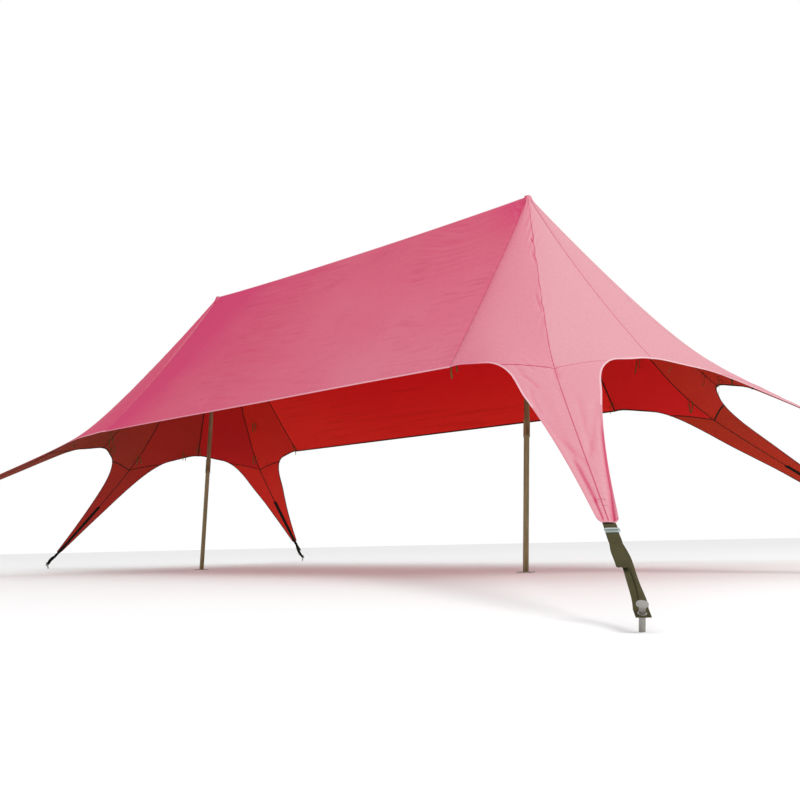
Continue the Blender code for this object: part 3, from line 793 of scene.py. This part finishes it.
def ridgeGrid(side):
    # Rows from the ridge down to the long edge, along the straight seams at both ends
    turn = math.radians(ridgeTurn)
    down = np.linspace(0, 1, weaveGrid["goreRows"] + 1) ** weaveGrid["grading"]
    radius = shape["ringRadius"] + down * (ridgeSeam["radius"] - shape["ringRadius"])
    ring = polar(shape["ringRadius"], np.linspace(math.pi, turn, 6)[:-1])
    px, py = np.concatenate([ring, polar(radius, turn)]).T[..., None]
    across = np.linspace(-1, 1, weaveGrid["ridgeColumns"] + 1)
    x, y = np.broadcast_arrays((shape["halfSpacing"] + px) * across, side * py)
    (low, lowOver, lowShare), (left, leftOver, leftShare) = longGlow["edge"], longGlow["left"]
    # painted light through the underside, warmer towards the long edges and the left
    underGlow = lowShare * smoothStep((np.abs(y) - low) / lowOver) + leftShare * rise(x, left, leftOver)
    return clothGrid(onCanopy(x, y), y, x, np.clip(underGlow, 0, 1))


def thickened(piece):
    # The cloth gets its thickness downwards, with its underside's own finish
    skin = piece.modifiers.new("thickness", "SOLIDIFY")
    skin.thickness, skin.offset, skin.material_offset = shape["cloth"], -1, 1
    return piece


def makeCloth():
    sheets = []
    for mast, name in ((1, "canopy_right_end"), (-1, "canopy_left_end")):
        names = [legName for legName, leg in legs.items() if leg["mast"] == mast]
        grids = sum(([goreGrid(n, -1), goreGrid(n, 1), legGrid(n)] for n in names), [])
        nodes = [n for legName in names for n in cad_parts
                 if legName in n and ("gore" in n or "leg_panel" in n)]
        sheets.append((name, grids, [pinkCloth, redUnderside], nodes))
    sheets.append(("canopy_long_panels", [ridgeGrid(-1), ridgeGrid(1)], [longCloth, longUnderside],
                   ["ridge_panel_near", "ridge_panel_far"]))
    pieces = []
    for name, grids, finishes, nodes in sheets:
        piece = thickened(gridMesh(name, grids, finishes, weaveGrid["merge"]))
        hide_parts(*nodes)
        pieces.append(piece)
    return pieces


cloth = makeCloth()
print("canopy cloth made")


# Heads: round patches of the same cloth, flat over the mast tops and sewn down on the cones

patch = {"reach": 0.085, "lift": 0.0008, "rings": 34, "grading": 0.9, "steps": 128, "wave": 0.03,
         "around": 0.8, "merge": 0.00005}


def makeHead(name, sign):
    # Rings round the head, lying on the canopy surface and closed by a point on the axis
    turn = circle(patch["steps"])
    radius = np.linspace(0, 1, patch["rings"])[:, None] ** patch["grading"] * patch["reach"]
    radius = radius * (1 + patch["wave"] * np.sin(5 * turn) * radius / patch["reach"])
    x, y = sign * shape["halfSpacing"] + radius * np.cos(turn), radius * np.sin(turn)
    points = onCanopy(x, y, patch["lift"])
    # painted shade, as on the cloth around the patch
    shade = sunShade(np.concatenate([points, points[:, :1]], 1))[:, :-1]
    shade[0] = shade[1].mean()
    uv = uvGrid(np.linspace(0, patch["around"], patch["steps"] + 1), radius[:, 0])
    grid = {"points": points, "uv": uv, "closed": True, "shade": shade, "flip": True}
    return thickened(gridMesh(name, [grid], [pinkCloth, redUnderside], patch["merge"]))


heads = [makeHead("mast_head_patch_right", 1), makeHead("mast_head_patch_left", -1)]
print("heads made")


# Seams, hems and sewn tapes. Lifts are from the cloth's outside: low, then high.

trim = {"seamHalf": 0.0038, "neckHalfWithShade": 0.0105, "ridgeHalf": 0.011, "seamLift": (-0.0006, 0.0008),
        "tapeHalf": 0.009, "tapeLift": (-0.0036, -0.0010), "tackHalf": 0.0016, "tackLift": (-0.0004, 0.0008),
        "webbingHalf": 0.033, "webbingLift": (-0.0075, -0.0036), "webbingStart": (3.80, 3.65),
        "webbingShadowPast": 0.012, "hemWide": 0.014, "paleAbove": 1.42, "step": 0.025, "gap": 0.01,
        "merge": 0.00005, "sharp": 50}
# Bar tacks of a leg's tip: distance from the tip, and both ends across the leg
tacks = ((0.272, 0.026, -0.018), (0.195, -0.008, 0.021))


def planRun(start, finish):
    length = math.hypot(finish[0] - start[0], finish[1] - start[1])
    share = np.linspace(0, 1, max(2, int(length / trim["step"])))[:, None]
    return np.asarray(start) * (1 - share) + np.asarray(finish) * share


def planSide(line):
    # Unit vectors square to a plan line
    way = np.gradient(line, axis=0)
    return unit(np.stack([way[:, 1], -way[:, 0]], -1))


def sewnGrid(line, side, offsets, lifts, around, along):
    # A closed profile carried along a plan line on the cloth, with offsets across the line,
    # lifts from the cloth and V measured along one of its columns
    x, y = np.moveaxis(line[:, None] + offsets[None, :, None] * side[:, None], -1, 0)
    place = onCanopy(x, y, np.broadcast_to(lifts, x.shape))
    return {"points": place, "uv": uvGrid(around, runLength(place[:, along])), "closed": True,
            # the strip takes the painted shade of the cloth under it
            "shade": slopeShade(x, y)}


def surfaceStrip(line, half, lift, pick=0, columns=4):
    # A thin closed strip that follows the cloth, with the edges of its upper face rounded off
    low, high = lift
    shares = np.linspace(-1, 1, columns + 1)
    rim = np.concatenate([shares, shares[::-1]])
    lifts = np.repeat([high, low], columns + 1)
    lifts[[0, columns]] = high - 0.3 * (high - low)
    grid = sewnGrid(line, planSide(line), rim * half, lifts, 1.3 * half * np.append(rim, rim[0]), 0)
    grid["pick"] = pick
    return capped(grid)


def seamLines():
    # Plan line, half width and finish of every seam: the ridge, then each leg's seams and necks,
    # then the side seams, which show no dark thread beside the ridge panels
    spacing, thin, gap = shape["halfSpacing"], trim["seamHalf"], trim["gap"]
    ring = shape["ringRadius"] + gap
    lines = [(planRun((-spacing + ring, 0), (spacing - ring, 0)), trim["ridgeHalf"], 0)]
    for leg in legs.values():
        neckU, tipU = leg["kind"]["neck"][0], leg["kind"]["tip"][0]
        neck = fromLeg(leg, neckU, 0.0)
        along = np.linspace(ring, neckU, 160)
        lines.append((legPoints(leg, along, seamWander(along, len(lines))), thin, 0))
        lines.append((planRun(neck, fromLeg(leg, tipU - gap, 0.0)), thin, 0))
        for side in (-1, 1):
            atEdge = legEdge(leg["kind"], seamOn(leg, side))[0][-1] * (1, side)
            # neck seams beside the ridge panels are drawn wider: a real seam with painted shade along it
            half = trim["neckHalfWithShade"] if side == leg["ridgeSide"] else thin
            lines.append((planRun(neck, fromLeg(leg, *atEdge)), half, 0))
    for quarter in ((-1, -1), (-1, 1), (1, -1), (1, 1)):
        for seam, turn, pick in ((valleySeam, valleySeam["span"], 0), (ridgeSeam, ridgeTurn, 1)):
            start, finish = (polar(radius, math.radians(turn)) + (spacing, 0)
                             for radius in (ring, seam["radius"] - gap))
            lines.append((planRun(start * quarter, finish * quarter), thin, pick))
    return lines


def hemLines():
    # Plan lines of the free edges: four arches between neighbouring legs and two long edges
    def legSide(legName, side):
        leg = legs[legName]
        upper, lower = legEdge(leg["kind"], seamOn(leg, side))
        edge = np.concatenate([upper, lower[1:]])
        return legPoints(leg, cutBack(edge[:, 0], 1, leg["kind"]), side * edge[:, 1])

    pairs = [("near_right", 1, "right_end", -1), ("right_end", 1, "far_right", -1),
             ("near_left", -1, "left_end", 1), ("left_end", -1, "far_left", 1),
             ("near_right", -1, "near_left", 1), ("far_right", 1, "far_left", -1)]
    lines = []
    for first, firstSide, second, secondSide in pairs:
        line = np.concatenate([legSide(first, firstSide)[::-1], legSide(second, secondSide)[1:]])
        lines.append(spread(line, np.linspace(0, 1, int(runLength(line)[-1] / trim["step"]))))
    return lines


def tipLine(leg):
    # Plan line of the short hem across a leg's tip
    v = np.linspace(-1, 1, 17)
    u = leg["kind"]["tip"][0] - weaveGrid["cornerCut"] * np.abs(v) ** 4
    return legPoints(leg, u, v * shape["tipHalf"])


def hemGrid(line):
    # A folded edge: pale on top, dark below, with a rounded lip just outside the cloth
    wide = trim["hemWide"]
    profile = np.array([(wide, 0.0002), (wide - 0.0015, 0.0012), (0.003, 0.0016), (-0.0015, 0.0006),
                        (-0.0015, -0.0022), (0.003, -0.0034), (wide - 0.0015, -0.0030), (wide, -0.0017)])
    around = np.array([0.0, 0.002, 0.013, 0.018, 0.021, 0.026, 0.037, 0.039, 0.041])
    side, middle = planSide(line), len(line) // 2
    inward = side * (-1 if side[middle] @ line[middle] >= 0 else 1)
    grid = sewnGrid(line, inward, profile[:, 0], profile[:, 1], around, 2)
    # pale along the arches, plain cloth down the lower legs
    onTop = np.array([1, 1, 1, 1, 0, 0, 0, 1])
    onLeg = grid["points"][1:, :1, 2] < trim["paleAbove"]
    grid["pick"] = np.where(onLeg, 2, 0) * onTop + np.array([0, 0, 0, 0, 1, 1, 1, 0])
    return capped(grid)


def makeTrim():
    seams = seamLines()
    outside = sum((surfaceStrip(line, half, trim["seamLift"], pick) for line, half, pick in seams[1:]), [])
    ridge = surfaceStrip(*seams[0][:2], trim["seamLift"])
    inside = sum((surfaceStrip(line, trim["tapeHalf"], trim["tapeLift"]) for line, half, pick in seams), [])
    hems = sum((hemGrid(line) for line in hemLines() + [tipLine(leg) for leg in legs.values()]), [])
    sewn, webbing = [], []
    for leg in legs.values():
        tipU = leg["kind"]["tip"][0]
        for fromTip, left, right in tacks:
            across = np.linspace(left, right, 16)
            run = legPoints(leg, tipU - fromTip + 0 * across, across)
            sewn += surfaceStrip(run, trim["tackHalf"], trim["tackLift"])
        start = trim["webbingStart"][0 if leg["ridgeSide"] else 1]
        # the webbing in painted shade runs a little past the tip, a painted shadow line under the hem
        run = planRun(fromLeg(leg, start, 0.0), fromLeg(leg, tipU + trim["webbingShadowPast"], 0.0))
        webbing += surfaceStrip(run, trim["webbingHalf"], trim["webbingLift"])
    return [gridMesh(name, grids, finishes, trim["merge"], trim["sharp"])
            for name, grids, finishes, slot in (
        ("seams_outside", outside, [seamOutside, pinkCloth], "canopy_fabric"),
        ("ridge_tape_outside", ridge, [hemCloth], "canopy_fabric"),
        ("bar_tacks", sewn, [darkThread], "canopy_fabric"),
        ("seam_tapes_inside", inside, [seamInside], "canopy_fabric"),
        ("edge_hems", hems, [hemCloth, hemInside, pinkCloth], "canopy_fabric"),
        ("leg_webbing_inside", webbing, [webbingInShade], "strap_webbing"))]


trims = makeTrim()
print("seams, hems and tapes made")


# Straps, buckles and pegs

anchor = {"width": 0.065, "layer": 0.0028, "pegHeight": 0.08, "pegRadius": 0.014, "buckleAt": 0.078,
          "buckleLong": 0.046, "tailEnd": 0.56, "rod": 0.0034, "bend": 0.017, "back": 0.03, "belowTip": 0.004,
          "sunk": 0.006, "sunkOver": 0.05, "joins": {"thin": (0.00002, 50), "peg": (0.0012, 40)},
          "turns": {"near_right": -0.5, "right_end": 0.6, "far_right": -0.6, "near_left": 0.5,
                    "left_end": 0.9, "far_left": -0.6}}


def strapFrame(leg):
    # Where a strap starts, its unit vectors along, across and above, and its length
    kind = leg["kind"]
    tipU, fall, turn = kind["tip"][0], math.atan(legFall(kind)), math.radians(leg["angle"])
    startZ = float(endHeight(np.array(tipU), np.array(0.0), kind, valleySeam, 0.0, 0.0)) - anchor["belowTip"]
    out, up = np.array([math.cos(turn), math.sin(turn), 0]), np.array([0, 0, 1.0])
    ways = np.stack([out * math.cos(fall) - up * math.sin(fall), np.cross(up, out),
                     out * math.sin(fall) + up * math.cos(fall)])
    return np.array([*fromLeg(leg, tipU, 0.0), startZ]), ways, (startZ - anchor["pegHeight"]) / math.sin(fall)


def strapPoints(leg, along, across, above):
    # World points from distances along, across and above the strap's middle line
    origin, ways, length = strapFrame(leg)
    return origin + np.stack(np.broadcast_arrays(along, across, above), -1) @ ways


def bandProfile(width, thick):
    # Flat band with rounded long edges, as a closed outline
    half, t = 0.5 * width, 0.5 * thick
    top = np.linspace(-half + t, half - t, 9)
    return np.concatenate([np.stack([top, np.full(9, t)], -1), [(half, 0.4 * t), (half, -0.4 * t)],
                           np.stack([top[::-1], np.full(9, -t)], -1), [(-half, -0.4 * t), (-half, 0.4 * t)]])


def band(leg, along, across, above, twist, profile):
    # A webbing layer along the strap, shifted and twisted about its own middle line
    path = strapPoints(leg, along, across, above)
    way = unit(np.gradient(path, axis=0))
    side = rotated(np.broadcast_to(strapFrame(leg)[1][1], path.shape), way, twist)
    return sweep(path, side, unit(np.cross(way, side)), profile)


def makeStrap(legName, leg):
    # Two layers from the tip through the buckle. The upper one ends as a ragged tail, the
    # lower one runs on, half turned and creased lengthwise, to a flat end with an eye.
    length = strapFrame(leg)[2]
    layer, half, back = anchor["layer"], 0.5 * anchor["width"], anchor["back"]
    t = np.linspace(0, 1, 110)
    along = -back + (length - half + back) * t
    free = rise(t, 0.30, 0.70)
    twist = anchor["turns"][legName] * np.sin(math.pi * free) ** 1.5
    across = 0.020 * np.sin(math.pi * free ** 0.9) - 0.004 * np.sin(2 * math.pi * t)
    profile = np.repeat(bandProfile(anchor["width"], layer)[None], len(t), 0)
    bent = anchor["bend"] * np.sin(math.pi * rise(t, 0.45, 0.5))[:, None]
    profile[..., 1] -= bent * np.abs(profile[..., 0] - 0.006) / half
    profile[..., 1] += 0.0012 * np.sin(profile[..., 0] * 70 + 9 * t[:, None]) * np.sin(math.pi * t[:, None])
    under = -0.5 * layer - overBuckle(along, 0.0020, 0.012) - sunkAt(along)
    lower = band(leg, along, across, under, twist, profile)
    # the lower layer's underside takes the webbing in painted shade
    lower["pick"] = np.repeat([0, 2, 0], [10, 9, 3])
    s = np.linspace(0, 1, 70)
    tailAlong = -back + (anchor["tailEnd"] * length + back) * s
    lift = 0.5 * layer + 0.0004 + overBuckle(tailAlong, 0.003, 0.02) + 0.012 * s ** 4 - sunkAt(tailAlong)
    drift = -0.012 * smoothStep(s * 1.3 - 0.2) + 0.0015 * np.sin(s * 16)
    tail = band(leg, tailAlong, drift, lift, 0.10 * s ** 2, bandProfile(anchor["width"], layer))
    fray(tail["points"])
    return capped(lower) + eyeEnd(leg, length, layer, half) + capped(tail)


def overBuckle(along, height, width):
    # A hump where a layer passes the buckle's bars
    return height * bell(along - anchor["buckleAt"] - 0.02, width)


def sunkAt(along):
    # Both layers dip under the tip's hem
    return anchor["sunk"] * smoothStep(1 - (along + 0.01) / anchor["sunkOver"])


def fray(points):
    # The tail is cut off on a slant and slightly frayed
    count = np.arange(points.shape[1] // 2)
    cut = 5 * count / (len(count) - 1) + 0.8 * np.sin(count * 2.4)
    points[-1] += np.concatenate([cut, cut[::-1]])[:, None] * (points[-1] - points[-2])


def eyeEnd(leg, length, layer, half):
    # A square of webbing with a round hole for the peg, and a rolled steel eyelet in it
    way = polar(1.0, circle(48))
    hole = way * (anchor["pegRadius"] + 0.003)
    square = way / np.abs(way).max(1, keepdims=True) * half
    square[:, 0] -= 0.006 * (way[:, 0] > 0) * np.abs(way[:, 1]) ** 6
    flat = np.stack([hole, square, square, hole, hole])
    level = np.array([0.0, 0.0, -layer, -layer, 0.0])[:, None]
    place = strapPoints(leg, length + flat[..., 0], flat[..., 1], level)
    ring = np.linspace(0, 2 * math.pi, 13)[:, None]
    reach = anchor["pegRadius"] + 0.0036 + 0.0026 * np.cos(ring)
    steel = strapPoints(leg, length + reach * way[:, 0], reach * way[:, 1],
                        -0.5 * layer + 0.0028 * np.sin(ring))
    return [{"points": place, "uv": np.concatenate([flat, flat[:, :1]], 1)[..., ::-1], "closed": True},
            {"points": steel, "uv": np.zeros((13, 49, 2)), "closed": True, "pick": 1}]


def rod(leg, along, across, above, radius, closed, flat=1.0):
    # A round or flattened rod bent to a path given along, across and above the strap
    path = strapPoints(leg, along, across, above)
    way = unit(np.roll(path, -1, axis=0) - np.roll(path, 1, axis=0) if closed else np.gradient(path, axis=0))
    up = squareTo(way, strapFrame(leg)[1][2])
    if closed:
        path, way, up = (np.concatenate([q, q[:1]]) for q in (path, way, up))
    grid = sweep(path, np.cross(way, up), up, polar(radius, circle(12)) * (flat, 1))
    return [grid] if closed else capped(grid)


def makeBuckle(leg):
    # Ladder buckle: a rounded frame of round rod with two bars across it
    half = 0.5 * anchor["width"] + anchor["rod"] + 0.0008
    square = polar(1.0, circle(64))
    square = np.sign(square) * np.abs(square) ** 0.35
    along = anchor["buckleAt"] + 0.5 * anchor["buckleLong"] * (1 + square[:, 0])
    grids = rod(leg, along, half * square[:, 1], 0.0048, anchor["rod"], True)
    for place, flat in ((0.22, 2.8), (0.80, 1.3)):
        bar = anchor["buckleAt"] + place * anchor["buckleLong"]
        grids += rod(leg, bar, np.linspace(-half, half, 9), 0.0064, anchor["rod"] * 0.8, False, flat)
    return grids


def makePeg(leg):
    # Steel stake square to the strap, cut level with the ground, with a hammered head
    origin, ways, length = strapFrame(leg)
    radius, foot = anchor["pegRadius"], -anchor["pegHeight"] / ways[2, 2]
    profile = np.array([(0.0005, foot), (radius, foot), (radius, foot + 0.01), (radius, 0.030),
                        (radius + 0.001, 0.0345), (0.0235, 0.0352), (0.0258, 0.0375), (0.0260, 0.042),
                        (0.0245, 0.0462), (0.016, 0.0468), (0.0005, 0.0464)])
    ring = polar(profile[:, :1], circle(48))
    place = strapPoints(leg, length + ring[..., 0], ring[..., 1], profile[:, 1:])
    # the lowest rings are slid along the stake onto the level ground
    place[:2] -= (place[:2, :, 2:] / ways[2, 2]) * ways[2]
    return [{"points": place, "uv": uvGrid(np.linspace(0, 0.1, 49), profile[:, 1]), "closed": True}]


for legName, leg in legs.items():
    for part, ending, grids, finishes, slot, kind in (
            ("strap_", "_webbing", makeStrap(legName, leg), [oliveWebbing, dullSteel, webbingInShade],
             "strap_webbing", "thin"),
            ("buckle_", "_ladder", makeBuckle(leg), [brightSteel], "zinc_steel", "thin"),
            ("peg_", "_stake", makePeg(leg), [dullSteel], "zinc_steel", "peg")):
        merge, sharp = anchor["joins"][kind]
        piece = gridMesh(part + legName + ending, grids, finishes, merge, sharp)
        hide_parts(part + legName)
print("straps, buckles and pegs made")


# Masts

mast = {"lean": 0.305, "leanTop": 4.70, "tube": 0.035, "wall": 0.003, "sleeve": 0.041, "sleeveBottom": 1.65,
        "sleeveTop": 1.88, "tubeTop": 4.66, "foot": 0.012, "edge": 0.0104, "lowerTop": 1.70, "play": 0.0006,
        "bead": 0.0012, "steps": 64, "merge": 0.00001, "sharp": 50}


def turned(profile, sign):
    # Rings of a profile (radius, height) round a mast's leaning axis
    radius, height = np.array(profile, float).T[..., None]
    lean = mast["lean"] * (1 - np.minimum(height, mast["leanTop"]) / mast["leanTop"])
    x, y = np.moveaxis(polar(radius, circle(mast["steps"])), -1, 0)
    place = np.stack(np.broadcast_arrays(sign * shape["halfSpacing"] - lean + x, y, height), -1)
    around = np.linspace(0, 2 * math.pi, mast["steps"] + 1) * radius.max()
    return {"points": place, "uv": uvGrid(around, runLength(profile)), "closed": True}


def makeMast(name, sign):
    # Each tube is a profile up its outside and down its inside
    tube, sleeve, low, high = mast["tube"], mast["sleeve"], mast["sleeveBottom"], mast["sleeveTop"]
    inner, loose, bead = tube - mast["wall"], tube + mast["play"], sleeve + mast["bead"]
    top, lowerTop, foot, edge = mast["tubeTop"], mast["lowerTop"], mast["foot"], mast["edge"]
    lower = [(inner, foot), (inner, edge), (tube - 0.001, edge), (tube, foot), (tube, 0.6), (tube, 1.2),
             (tube, 1.62), (tube, lowerTop), (inner, lowerTop), (inner, 1.2), (inner, foot)]
    upper = [(loose, low + 0.03), (loose, low), (sleeve - 0.001, low), (sleeve, low + 0.002),
             (sleeve, low + 0.018), (bead, low + 0.020), (bead, low + 0.026),
             (sleeve, low + 0.028), (sleeve, high - 0.03), (sleeve - 0.0008, high - 0.004),
             (tube + 0.002, high + 0.006), (tube, high + 0.012), (tube, 2.4), (tube, 3.2), (tube, 4.0),
             (tube, top), (inner, top), (inner, 4.0), (inner, low + 0.03), (loose, low + 0.03)]
    for part, profile in (("_lower", lower), ("_upper", upper)):
        piece = gridMesh(name + part + "_painted", [turned(profile, sign)], [olivePaint], mast["merge"],
                         mast["sharp"])
        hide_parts(name + part + "_tube")


makeMast("mast_right", 1)
makeMast("mast_left", -1)
for name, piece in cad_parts.items():
    if "_foot" in name or "_cap" in name:
        piece.data.materials.clear()
        piece.data.materials.append(dullSteel)
print("masts made")


# Tie tapes that hang inside, in pairs at the seam ends and necks, whose places are given along
# and across a corner leg and an end leg

tie = {"long": (0.13, 0.19), "wide": 0.018, "apart": 0.062, "thick": 0.001, "below": -0.003, "seamAt": 1.97,
       "cornerPlaces": ((2.29, 0.0), (1.64, 0.18)), "endPlaces": ((2.31, 0.0), (1.95, 0.78), (1.95, -0.78)),
       "steps": 24, "merge": 0.00001, "sharp": 50}


def tieSpots():
    # Plan place of every pair, and the unit vector across its leg
    spots = []
    for leg in legs.values():
        way = polar(1.0, math.radians(leg["angle"] + 90))
        places = tie["cornerPlaces"] if leg["ridgeSide"] else tie["endPlaces"]
        spots += [(legPoints(leg, u, v * leg["mast"]), way) for u, v in places]
        for side in (-1, 1):
            if leg["ridgeSide"] in (side, 0):
                u, v = polar(tie["seamAt"], math.radians(seamOn(leg, side)["span"]))
                spots.append((legPoints(leg, u, side * v), way))
    return spots


def makeTies():
    # Each tape hangs straight down from the cloth, bent, swung and curled by its own draws
    draw = np.random.default_rng(11)
    s = np.linspace(0, 1, tie["steps"])
    grids = []
    for place, way in tieSpots():
        for half in (-1, 1):
            long = draw.uniform(*tie["long"])
            spot = place + half * 0.5 * tie["apart"] * way * draw.uniform(0.7, 1.3)
            top = onCanopy(spot[:1], spot[1:], tie["below"])[0]
            bend, curl, start = draw.uniform(-0.03, 0.03), draw.uniform(-0.4, 0.5), draw.uniform(0, 6.28)
            swing = 0.006 * way * (np.sin(s * 5 + start) * s)[:, None]
            plan = top[:2] + polar(1.0, start) * bend * s[:, None] ** 2 + swing
            drop = top[2] - long * s + 0.02 * np.clip(curl, 0, 1) * s ** 6
            path = np.column_stack([plan, drop])
            run = unit(np.gradient(path, axis=0))
            side = rotated(squareTo(run, np.array([*way, 0.0])), run, curl * s * 2)
            grids += capped(sweep(path, side, np.cross(run, side), bandProfile(tie["wide"], tie["thick"])))
    gridMesh("tie_tapes_inside", grids, [tieTape], tie["merge"], tie["sharp"])


makeTies()
print("tie tapes made")


# Floor, light and camera

floorLook = {"radius": 90.0, "level": -0.0005, "dark": (0.80, 0.80, 0.80), "light": (0.84, 0.84, 0.84)}
# Disk lights, each as place, aim, size and power
lights = {"key": ((17, -5, 13), (1.5, 0, 2.2), 7.0, 1300), "fill": ((-9, -16, 9), (-1, 0, 2.0), 9.0, 250)}
# Fitted to the photograph: place of the lens, heading from +Y towards -X, tilt up, and roll
view = {"place": (7.9060, -8.6850, 0.3885), "heading": 38.955, "tilt": 10.552, "roll": -1.188,
        "focalPixels": 793.79, "axisPixel": (395.78, 394.82), "frame": 800, "sensor": 36.0}


def makeFloor():
    mesh = bpy.data.meshes.new("floor")
    rim = np.insert(polar(floorLook["radius"], circle(64)), 2, floorLook["level"], axis=1)
    mesh.from_pydata(rim.tolist(), [], [tuple(range(64))])
    material, tree, place, uv = newFinish("pale_floor", Roughness=0.9)
    cloud = noise(tree, place, 0.4, 2.0)
    connect(tree, Base_Color=mixColour(tree, cloud, floorLook["dark"], floorLook["light"]))
    mesh.materials.append(material)
    newObject("floor", mesh)


def makeLight():
    world = bpy.data.worlds.new("soft_white")
    world.use_nodes = True
    background = world.node_tree.nodes["Background"].inputs
    background["Color"].default_value, background["Strength"].default_value = (*white, 1.0), 1.0
    bpy.context.scene.world = world
    for name, (place, aim, size, power) in lights.items():
        data = bpy.data.lights.new(name, "AREA")
        data.shape, data.size, data.energy = "DISK", size, power
        light = newObject(name, data)
        light.location = place
        light.rotation_euler = (Vector(aim) - Vector(place)).to_track_quat("-Z", "Y").to_euler()


def makeCamera():
    data = bpy.data.cameras.new("camera")
    data.sensor_width = view["sensor"]
    data.lens = view["focalPixels"] * view["sensor"] / view["frame"]
    data.shift_x = (view["frame"] / 2 - view["axisPixel"][0]) / view["frame"]
    data.shift_y = (view["axisPixel"][1] - view["frame"] / 2) / view["frame"]
    data.clip_end = 300
    camera = newObject("camera", data)
    turn = Matrix.Identity(4)
    for degrees, axis in ((view["heading"], "Z"), (90 + view["tilt"], "X"), (view["roll"], "Z")):
        turn = turn @ Matrix.Rotation(math.radians(degrees), 4, axis)
    camera.matrix_world = Matrix.Translation(view["place"]) @ turn
    bpy.context.scene.camera = camera


makeFloor()
makeLight()
makeCamera()
bpy.context.scene.view_settings.view_transform = "Standard"
print("floor, light and camera made")
